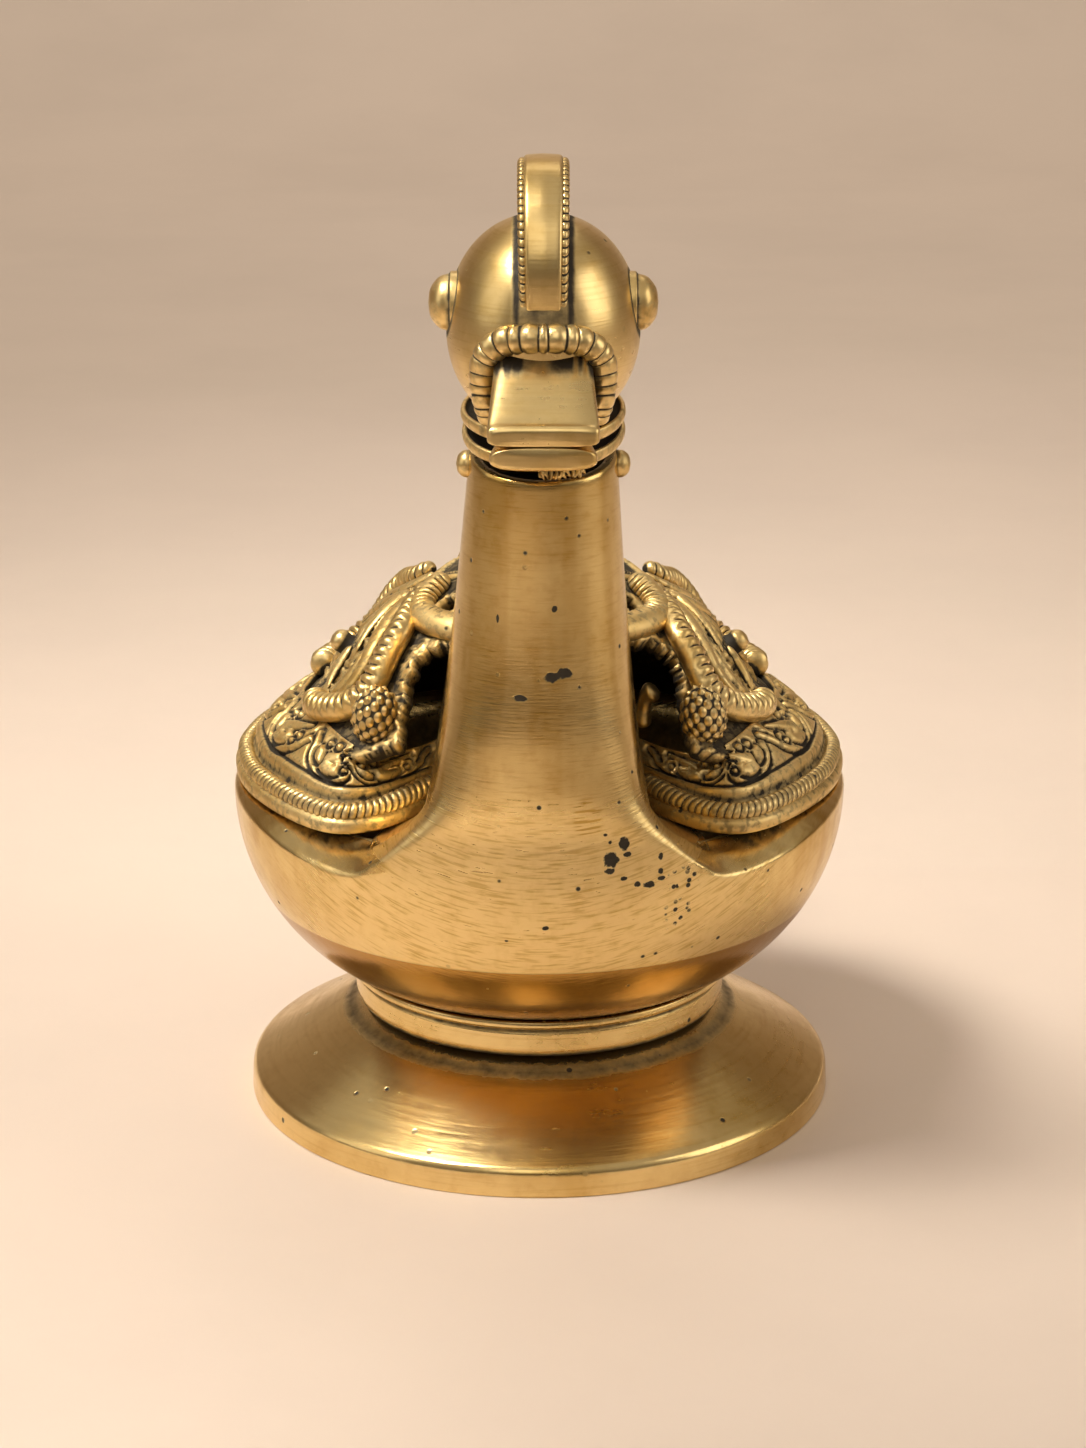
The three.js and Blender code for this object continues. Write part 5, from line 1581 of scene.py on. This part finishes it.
class LAMP_OT_lid_vines(bpy.types.Operator):
    """Builds the ribbed vines, the leaves beside them and the grained buds at the windows' corners."""
    bl_idname = "lamp.lid_vines"
    bl_label = "Lid vines and buds"

    def execute(self, context):
        size = sizes(context.scene.lamp_lid)
        for corner, side, behind in CORNERS:
            self.add_vine(size, corner, side, behind)
            self.add_leaves(corner, side, behind)
            self.add_bud(corner, side, behind)
        return {"FINISHED"}

    def add_vine(self, size, corner, side, behind):
        """Vine: a tube down the dome that curls out at its end, beaded on its outer side."""
        route = [(68.1, 72), (66.6, 69), (65.3, 62), (63.8, 55.5), (61.6, 53.2), (59.0, 52.3), (57.0, 53.5),
                 (55.3, 58), (54.2, 64), (53.5, 70.5), (53.9, 76)]
        line = smooth_path(route, 330)
        thick = size["vine_radius"] * (0.72 + 0.38 * smooth_step(0.0, 0.55, np.linspace(0, 1, len(line))))
        path, normal = on_dome(line[:, 0], corner_turn(line[:, 1], side, behind), 0.75 * thick)
        run = run_length(path)[:, None]
        around = ring_turns(24)
        wave = bead_wave(run + 0.25 * np.sin(around), 1.28)
        mirror = side * (-1 if behind else 1)
        outer = smooth_step(-0.4, 0.3, 0.5 * np.sin(around) - mirror * np.cos(around))
        vine = tube(path, normal, thick * 1.1, thick, 24, 0.36 * (wave - 0.6) * outer, 1.3)
        grime = smooth_step(0.7, 0.15, wave) * outer
        # Painted shade: the vine's side towards the dome is darkened.
        painted_shade_underside = smooth_step(-0.2, -0.8, np.sin(around)) * np.ones_like(wave)
        grime = np.maximum(grime, 0.9 * painted_shade_underside)
        node = f"lid_vine_{corner}"
        add_grid(f"{node}_beaded", vine, rope_brass(), "lid", [node], grime)

    def add_leaves(self, corner, side, behind):
        """Leaves: flat tapering tubes beside the vine, with a hooked tip."""
        routes = [
            ([(68.4, 84), (66.2, 79), (63.2, 70), (60.0, 65.5), (57.2, 66), (55.2, 70), (54.6, 75),
              (55.3, 77.5)], 1.25, 0.62),
            ([(66.4, 93), (64.6, 86), (62.0, 79), (60.2, 76)], 1.3, 0.6),
            ([(60.0, 84), (58.4, 83.5), (56.6, 82), (55.2, 79)], 1.1, 0.55),
        ]
        for number, (route, width, height) in enumerate(routes):
            line = smooth_path(route, 120)
            share = np.linspace(0, 1, len(line))
            taper = (0.35 + 0.65 * np.sin(np.pi * share ** 0.75)) * (1 - 0.35 * share)
            path, normal = on_dome(line[:, 0], corner_turn(line[:, 1], side, behind), 0.2)
            around = ring_turns(20)
            keel = 0.22 * bell(np.cos(around), 0.55, 0.3) * (np.sin(around) > 0) * np.ones((len(line), 1))
            leaf = tube(path, normal, width * taper, height * taper + 0.12, 20, keel, 0.8)
            # Painted shade: each leaf's side towards the dome is darkened.
            grime = 0.85 * smooth_step(0.35, -0.3, np.sin(around)) * np.ones((len(line), 1))
            name = f"lid_leaf_{corner}_{number + 1}"
            add_grid(name, leaf, lid_brass(), "lid", (), grime)

    def add_bud(self, corner, side, behind):
        """Bud: an egg with round grains spread evenly over it by the golden angle."""
        azimuth = corner_turn(47.0, side, behind)
        middle, normal = on_dome(np.array(55.6), azimuth, 0.9)
        rise = np.linspace(-np.pi / 2, np.pi / 2, 84)[:, None]
        turn = ring_turns(128)
        ball = joined(np.cos(rise) * np.cos(turn), np.cos(rise) * np.sin(turn), np.sin(rise))
        grains = 78
        number = np.arange(grains)
        level = 1 - 2 * (number + 0.5) / grains
        spin = number * math.pi * (3 - math.sqrt(5))
        out = np.sqrt(1 - level**2)
        seeds = joined(out * np.cos(spin), out * np.sin(spin), level)
        near = np.arccos(np.clip(ball.reshape(-1, 3) @ seeds.T, -1, 1)).min(axis=1).reshape(ball.shape[:2])
        grain = bell(near, 0.0, 0.15)
        size = np.array([2.9, 2.9, 3.9])
        bud = ball * size * (0.93 + 0.12 * grain)[..., None]
        lean = np.array([-0.25 * side, 0.0, 0.95])
        axis = unit(lean + 0.2 * normal)
        across = unit(np.cross(axis, normal))
        ahead = np.cross(across, axis)
        placed = bud[..., :1] * across + bud[..., 1:2] * ahead + bud[..., 2:] * axis + middle
        node = f"lid_bud_{corner}"
        grime = 0.85 * smooth_step(0.4, 0.05, grain)
        add_grid(f"{node}_grained", placed, rope_brass(), "lid", [node], grime)


class LAMP_OT_lid_bars(bpy.types.Operator):
    """Builds the arch bars over the windows, the side knobs and the thumb tab."""
    bl_idname = "lamp.lid_bars"
    bl_label = "Lid bars and knobs"

    def execute(self, context):
        self.add_bar("lid_arch_front", False, 69.0, 65.6)
        self.add_bar("lid_arch_back", True, 38.0, 66.4)
        for name, side in (("lid_knob_right", 1), ("lid_knob_left", -1)):
            self.add_knob(name, side)
        self.add_tab(sizes(context.scene.lamp_lid))
        return {"FINISHED"}

    def add_bar(self, name, behind, half_span, level):
        """Arch bar: a thick tube over the window whose ends turn up, hatched on the side of the crown."""
        half = np.array([(0.0, 0.0), (0.35, 0.0), (0.7, 0.05), (0.86, 0.4), (0.95, 1.3), (1.0, 2.6),
                         (1.01, 3.8)])
        line = smooth_path(np.vstack([(half * (-1, 1))[:0:-1], half]), 520)
        turn = np.radians(half_span) * line[:, 0] + (np.pi if behind else 0.0)
        path, normal = on_dome(level + line[:, 1], turn, 0.55)
        run = run_length(path)[:, None]
        around = ring_turns(28)
        crown_side = smooth_step(0.1, 0.6, -np.cos(around)) * smooth_step(-0.6, 0.0, np.sin(around))
        wave = bead_wave(run, 0.92)
        bar = tube(path, normal, 1.95, 1.5, 28, 0.22 * (wave - 0.7) * crown_side, 1.6)
        grime = smooth_step(0.6, 0.1, wave) * crown_side
        # Painted shade: the bar's side towards the dome is darkened; the darkening in the hatching is patina.
        grime = np.maximum(grime, 0.9 * smooth_step(0.0, -0.5, np.sin(around)))
        add_grid(f"{name}_hatched", bar, lid_brass(), "lid", [name], grime)

    def add_knob(self, name, side):
        """Knob: a turned ball on a short neck, standing square off the dome."""
        middle, normal = on_dome(np.array(58.9), side * np.radians(94.0), 0.0)
        corners = [(0, 2.5), (1.0, 2.3), (1.55, 1.4), (1.35, 0.5), (1.6, -0.4), (0, -0.6)]
        knob = turned(rounded(corners, [0.8, 0.8, 0.5, 0.3], 0.3), 64)
        across = np.array([0.0, 1.0, 0.0])
        ahead = np.cross(normal, across)
        placed = knob[..., :1] * across + knob[..., 1:2] * ahead + knob[..., 2:] * normal + middle
        # Painted shade: the knob's stem and the ball's lower half, towards the dome, are darkened.
        grime = smooth_step(1.6, 0.6, knob[..., 2])
        add_grid(f"{name}_ball", placed, rope_brass(), "lid", [name], grime)

    def add_tab(self, size):
        """Thumb tab: a short bent stalk with a rounded end, standing on the sill beside the neck."""
        low, high = node_corners("lid_thumb_tab")
        x, y = (low[:2] + high[:2]) / 2
        base = size["sill"] - 0.6
        route = np.array([(0, 0, 0), (0.1, -0.2, 2.2), (0.5, -0.6, 4.2), (1.6, -1.0, 5.4)]) + (x, y, base)
        path = smooth_path(route, 60)
        share = np.linspace(0, 1, len(path))
        wide = 1.25 - 0.35 * np.sin(np.pi * share) + 0.35 * smooth_step(0.6, 1.0, share)
        ups = np.broadcast_to(np.array([0.0, -1.0, 0.15]), path.shape)
        tab = tube(path, ups, wide, wide, 24, 0.0, 1.1)
        add_grid("lid_thumb_tab_stalk", tab, rope_brass(), "lid", ["lid_thumb_tab"], 0.2)


# Hinge, tail and wick

class LAMP_OT_hinge(bpy.types.Operator):
    """Builds the lid's knuckle, the two lugs on the bowl and the pin through them."""
    bl_idname = "lamp.hinge"
    bl_label = "Hinge"

    def execute(self, context):
        self.add_barrel("lid_knuckle", "lid", 1.9, 0.0)
        for node in ("hinge_lug_left", "hinge_lug_right"):
            self.add_barrel(node, "lamp", 2.9, -4.2)
        end = node_corners("hinge_pin")[1][0]
        head = rounded([(0, end), (1.35, end), (1.9, end - 0.9), (1.2, end - 0.95), (1.2, 0)], 0.35, 0.25)
        outline = np.vstack([head, head[::-1] * (1, -1)])
        pin = along_x(turned(outline, 48)) + HINGE_MIDDLE
        add_grid("hinge_pin_domed", pin, rope_brass(), "lamp", ["hinge_pin"], 0.15)
        return {"FINISHED"}

    def add_barrel(self, node, body, web, drop):
        """Barrel along X: a round section with a bore, drawn out into a web that runs to the lid, or down
        to the bowl where drop isn't 0."""
        low, high = node_corners(node)
        radius = 2.6
        turn = ring_turns(96)[0]
        reach = joined(radius * np.cos(turn), radius * np.sin(turn))
        toward = smooth_step(0.2, 1.0, -np.cos(turn - 0.5 * np.sign(-drop)))
        reach[:, 0] -= web * toward * (0.45 if drop else 1.0)
        reach[:, 1] += drop * toward * 0.75
        bore = 1.3 * joined(np.cos(turn), np.sin(turn))
        rim = 0.35
        ends = [(low[0], bore), (low[0], reach * (1 - rim / radius)), (low[0] + rim, reach),
                (high[0] - rim, reach), (high[0], reach * (1 - rim / radius)), (high[0], bore)]
        rows = [np.column_stack([np.full(len(turn), x), ring]) for x, ring in ends]
        grid = np.stack(rows) + HINGE_MIDDLE * (0, 1, 1)
        add_grid(f"{node}_barrel", grid, cast_brass(), body, [node], 0.3, loop=True)


TAIL_DROP = 8.7


class LAMP_OT_tail(bpy.types.Operator):
    """Builds the feathered tail and the rivets that hold it."""
    bl_idname = "lamp.tail"
    bl_label = "Tail"

    def execute(self, context):
        body = sizes(context.scene.lamp_body)
        surface, grime = self.fan(body, node_corners("tail")[1][1])
        add_grid("tail_fan", surface, cast_brass(), "lamp", ["tail"], grime)
        for name, side in (("tail_rivet_left", -1), ("tail_rivet_right", 1)):
            self.add_rivet(name, side, body)
        return {"FINISHED"}

    def fan(self, body, tip):
        """Fan: flat rounded sections that widen and rise towards the tip, scalloped into seven feathers
        by grooves that spread from the root."""
        root = body["bowl_radius"] - 2.2
        share = np.sin(np.linspace(0, np.pi / 2, 96))[:, None]
        turn = ring_turns(240)
        late = np.clip((share - 0.6) / 0.4, 0, 1)
        half = (6.0 + 13.0 * share) * np.sqrt(1 - 0.75 * late**2)
        thick = (6.4 - 4.2 * share) / 2
        closing = np.sqrt(1 - np.clip((share - 0.985) / 0.015, 0, 1) ** 2)
        across = np.sign(np.cos(turn)) * np.abs(np.cos(turn)) ** 0.75
        feather = across * 3.5
        from_quill = feather - np.round(feather)
        groove = bell(from_quill, 0.5, 0.13) + bell(from_quill, -0.5, 0.13)
        barbs = 0.5 + 0.5 * np.cos(9.0 * np.abs(from_quill) * np.pi + 34.0 * share)
        upper = np.sign(np.sin(turn)) * np.abs(np.sin(turn)) ** 0.8
        depth = (0.42 * groove + 0.08 * barbs) * smooth_step(0.12, 0.4, share)
        z = body["equator"] - TAIL_DROP + 14.5 * share**2 + (thick - depth) * upper * closing
        y = root + (tip - root) * share
        scallop = 0.6 * (1 - np.abs(np.cos(np.pi * feather))) * late
        points = joined(half * across, y - scallop, z)
        surface = np.vstack([pole(points[0]), points])
        grime = np.clip(0.9 * groove + 0.25 * (1 - barbs), 0, 1) * smooth_step(0.1, 0.4, share)
        grime = np.broadcast_to(grime, points.shape[:2])
        return surface, np.vstack([grime[:1], grime])

    def add_rivet(self, name, side, body):
        """Rivet: a turned rod with a domed head inside the bowl, square to the bowl's wall."""
        inner = body["bowl_arc"] - body["wall"]
        section = [(0, -1.7), (1.3, -1.6), (2.0, -0.6), (1.2, -0.55), (1.2, 6.8), (0, 6.8)]
        corners = np.array(section) + (0, inner)
        rod = turned(rounded(corners, 0.4, 0.4), 48)
        fall = math.asin(TAIL_DROP / body["bowl_arc"])
        out = rod[..., 2] * math.cos(fall) + rod[..., 1] * math.sin(fall)
        up = rod[..., 1] * math.cos(fall) - rod[..., 2] * math.sin(fall)
        arc_middle = body["bowl_radius"] - body["bowl_arc"]
        placed = joined(rod[..., 0] + side * 3.5, out + arc_middle, up + body["equator"])
        add_grid(f"{name}_domed", placed, cast_brass(), "lamp", [name], 0.3)


class LAMP_OT_wick(bpy.types.Operator):
    """Builds the wick holder and the twisted cotton wick."""
    bl_idname = "lamp.wick"
    bl_label = "Wick"

    def execute(self, context):
        low, high = node_corners("wick_holder")
        place = (low + high) / 2 * (1, 1, 0)
        base = [(0, 0), (9.0, 0), (9.0, 1.6), (3.4, 3.4), (2.6, 6.0)]
        cup = [(2.6, -5.4), (4.2, -0.2), (3.7, 0), (1.9, -2.4), (1.9, -13.8), (0, -13.9)]
        corners = np.vstack([np.array(base) + (0, low[2]), np.array(cup) + (0, high[2])])
        outline = rounded(corners, [0.4, 0.5, 1.6, 1.5, 1.5, 0.3, 0.3, 0.6, 0.1], 0.5)
        holder = turned(outline, 128) + place
        add_grid("wick_holder_turned", holder, cast_brass(), "lamp", ["wick_holder"], 0.3)
        self.add_wick()
        return {"FINISHED"}

    def add_wick(self):
        """Wick: a rod whose section has four strands wound round it, drawn to a charred point."""
        low, high = node_corners("cotton_wick")
        place = (low + high) / 2 * (1, 1, 0)
        height = np.linspace(low[2], high[2] - 0.05, 150)[:, None]
        turn = ring_turns(64)
        strand = np.abs(np.cos(2 * (turn + 1.1 * height))) ** 0.7
        taper = 1 - 0.62 * smooth_step(high[2] - 2.4, high[2], height)
        radius = 1.58 * taper * (0.84 + 0.16 * strand)
        sway = 0.25 * smooth_step(high[2] - 4.0, high[2], height)
        points = joined(radius * np.cos(turn) + sway, radius * np.sin(turn), height) + place
        char = np.broadcast_to(smooth_step(high[2] - 3.0, high[2] - 0.6, height), points.shape[:2])
        surface = np.vstack([pole(points[0]), points, pole(points[-1])])
        grime = np.vstack([char[:1], char, char[-1:]])
        add_grid("wick_strands", surface, cotton_finish(), "lamp", ["cotton_wick"], grime)


# Stage

def floor_finish(tones):
    """Pale matt table top with faint warm clouding."""
    material, shader, start = new_finish("table_top")
    where = start.node("ShaderNodeTexCoord", output=3)
    cloud = noise(start, where, 9.0, 6.0, 0.6)
    tone = cloud.step(0.3, 0.75).tint(tones.floor, shaded(tones.floor, 0.93))
    feed(shader, {"Base Color": tone})
    shader.inputs["Roughness"].default_value = 0.5
    return material


# Camera, backdrop and lights in metres
CAMERA_PLACE = (0.00046, -0.42128, 0.18588)
CAMERA_TARGET = (0.00046, 0.0, 0.04888)
CAMERA_LENS = 85.52
FLOOR_REACH = 6.0
BACKDROP_START = 0.75
BACKDROP_BEND = 0.5
BACKDROP_TOP = 1.6
WARM = (1.0, 0.95, 0.88)
WARMER = (1.0, 0.93, 0.84)
ROOM_DARK = (0.02, 0.014, 0.009)
ROOM_BRIGHT = (1.0, 0.87, 0.72)
LAMP_MIDDLE = (0.0, 0.0, 0.06)


def add_area_light(name, place, target, size, watts, tone=WARM, spread=180.0):
    """A rectangular lamp at a place, facing a target, in metres; spread is the beam's angle in degrees."""
    data = bpy.data.lights.new(name, "AREA")
    data.shape = "RECTANGLE"
    data.size, data.size_y = size
    data.energy = watts
    data.color = tone
    data.spread = math.radians(spread)
    lamp = bpy.data.objects.new(name, data)
    lamp.location = place
    aim(lamp, target)
    bpy.context.scene.collection.objects.link(lamp)


def aim(obj, target):
    """Turns an object so that its -Z axis points at a target, with +Y upwards."""
    obj.rotation_euler = (Vector(target) - Vector(obj.location)).to_track_quat("-Z", "Y").to_euler()


class LAMP_OT_stage(bpy.types.Operator):
    """Builds the floor with its curved backdrop, the lights, the world and the camera."""
    bl_idname = "lamp.stage"
    bl_label = "Stage"

    def execute(self, context):
        self.add_floor(context.scene.lamp_finish)
        self.add_lights(context)
        self.add_camera(context)
        context.scene.view_settings.view_transform = "Standard"
        return {"FINISHED"}

    def add_floor(self, tones):
        """Floor: one sheet, level under the lamp and curved up behind it into a wall."""
        bend = arc((BACKDROP_START, BACKDROP_BEND), BACKDROP_BEND, -math.pi / 2, 0.0, 24)
        wall_top = (BACKDROP_START + BACKDROP_BEND, BACKDROP_TOP)
        profile = np.vstack([[(-FLOOR_REACH, 0.0)], bend, [wall_top]])
        across = np.array([[-FLOOR_REACH, FLOOR_REACH]])
        points = joined(across, profile[:, :1], profile[:, 1:])
        mesh = bpy.data.meshes.new("table_top")
        quads = grid_quads(len(profile), 2, ring=False)[:, ::-1]
        mesh.from_pydata(points.reshape(-1, 3).tolist(), [], quads.tolist())
        mesh.polygons.foreach_set("use_smooth", np.ones(len(mesh.polygons), bool))
        mesh.materials.append(floor_finish(tones))
        floor = bpy.data.objects.new("table_top", mesh)
        bpy.context.scene.collection.objects.link(floor)

    def add_lights(self, context):
        """Key high on the left, a soft box high in front, a pool of light on the table in front on the left,
        a light on the backdrop, weak fills on both sides, and a warm dim world, darker low down in front."""
        add_area_light("key", (-0.30, -0.10, 0.66), (0.0, 0.09, 0.0), (0.20, 0.20), 0.47, spread=50.0)
        add_area_light("front", (-0.05, -0.48, 0.46), (0.0, -0.03, 0.11), (0.24, 0.36), 0.34)
        add_area_light("pool", (-0.15, -0.25, 0.60), (-0.115, -0.19, 0.0), (0.05, 0.05), 0.09, spread=30.0)
        add_area_light("left", (-0.62, -0.20, 0.36), LAMP_MIDDLE, (0.40, 0.50), 0.52)
        add_area_light("fill", (0.60, -0.16, 0.34), LAMP_MIDDLE, (0.40, 0.50), 1.10, WARMER)
        add_area_light("backdrop", (0.0, 0.60, 0.80), (0.0, 1.10, 0.08), (0.6, 0.4), 2.7)
        world = bpy.data.worlds.new("studio")
        world.use_nodes = True
        start = Signal(world.node_tree)
        x, y, z = split_axes(start, start.node("ShaderNodeTexCoord", output=0))
        in_front = (x * 0.10 - y).step(0.93, 0.985)
        bright = (0.42 + z.step(0.1, 0.8) * 0.5) * (1.0 - in_front * z.step(0.30, 0.12) * 0.85)
        back = world.node_tree.nodes["Background"]
        feed(back, {"Color": bright.tint(ROOM_DARK, ROOM_BRIGHT)})
        back.inputs["Strength"].default_value = 0.45
        context.scene.world = world

    def add_camera(self, context):
        """Camera at the photograph's height and distance, looking down at the lamp's middle."""
        data = bpy.data.cameras.new("camera")
        data.lens = CAMERA_LENS
        data.sensor_width = 36.0
        data.sensor_fit = "AUTO"
        camera = bpy.data.objects.new("camera", data)
        camera.location = CAMERA_PLACE
        aim(camera, CAMERA_TARGET)
        context.scene.collection.objects.link(camera)
        context.scene.camera = camera


class LAMP_PT_pieces(bpy.types.Panel):
    """Lists the lamp's pieces, each with a button that builds it."""
    bl_idname = "LAMP_PT_pieces"
    bl_label = "Brass bird lamp"
    bl_space_type = "VIEW_3D"
    bl_region_type = "UI"
    bl_category = "Lamp"

    def draw(self, context):
        for operator in OPERATORS:
            self.layout.operator(operator.bl_idname)


SETTINGS = {
    "lamp_foot": LampFootSettings,
    "lamp_body": LampBodySettings,
    "lamp_head": LampHeadSettings,
    "lamp_lid": LampLidSettings,
    "lamp_finish": LampFinishSettings,
}
OPERATORS = (
    LAMP_OT_foot, LAMP_OT_body, LAMP_OT_neck_rings, LAMP_OT_head, LAMP_OT_crest, LAMP_OT_bill,
    LAMP_OT_lid_shell, LAMP_OT_lid_rope, LAMP_OT_lid_vines, LAMP_OT_lid_bars, LAMP_OT_hinge, LAMP_OT_tail,
    LAMP_OT_wick, LAMP_OT_stage,
)


def register():
    """Registers the settings, the operators and the panel."""
    for group in SETTINGS.values():
        bpy.utils.register_class(group)
    for name, group in SETTINGS.items():
        setattr(bpy.types.Scene, name, PointerProperty(type=group))
    for operator in OPERATORS:
        bpy.utils.register_class(operator)
    bpy.utils.register_class(LAMP_PT_pieces)


def unregister():
    """Takes the panel, the operators and the settings out again."""
    bpy.utils.unregister_class(LAMP_PT_pieces)
    for operator in reversed(OPERATORS):
        bpy.utils.unregister_class(operator)
    for name, group in SETTINGS.items():
        delattr(bpy.types.Scene, name)
        bpy.utils.unregister_class(group)


def main():
    register()
    bpy.ops.lamp.foot()
    bpy.ops.lamp.body()
    bpy.ops.lamp.neck_rings()
    bpy.ops.lamp.head()
    bpy.ops.lamp.crest()
    bpy.ops.lamp.bill()
    bpy.ops.lamp.lid_shell()
    bpy.ops.lamp.lid_rope()
    bpy.ops.lamp.lid_vines()
    bpy.ops.lamp.lid_bars()
    bpy.ops.lamp.hinge()
    bpy.ops.lamp.tail()
    bpy.ops.lamp.wick()
    bpy.ops.lamp.stage()


if __name__ == "__main__":
    main()
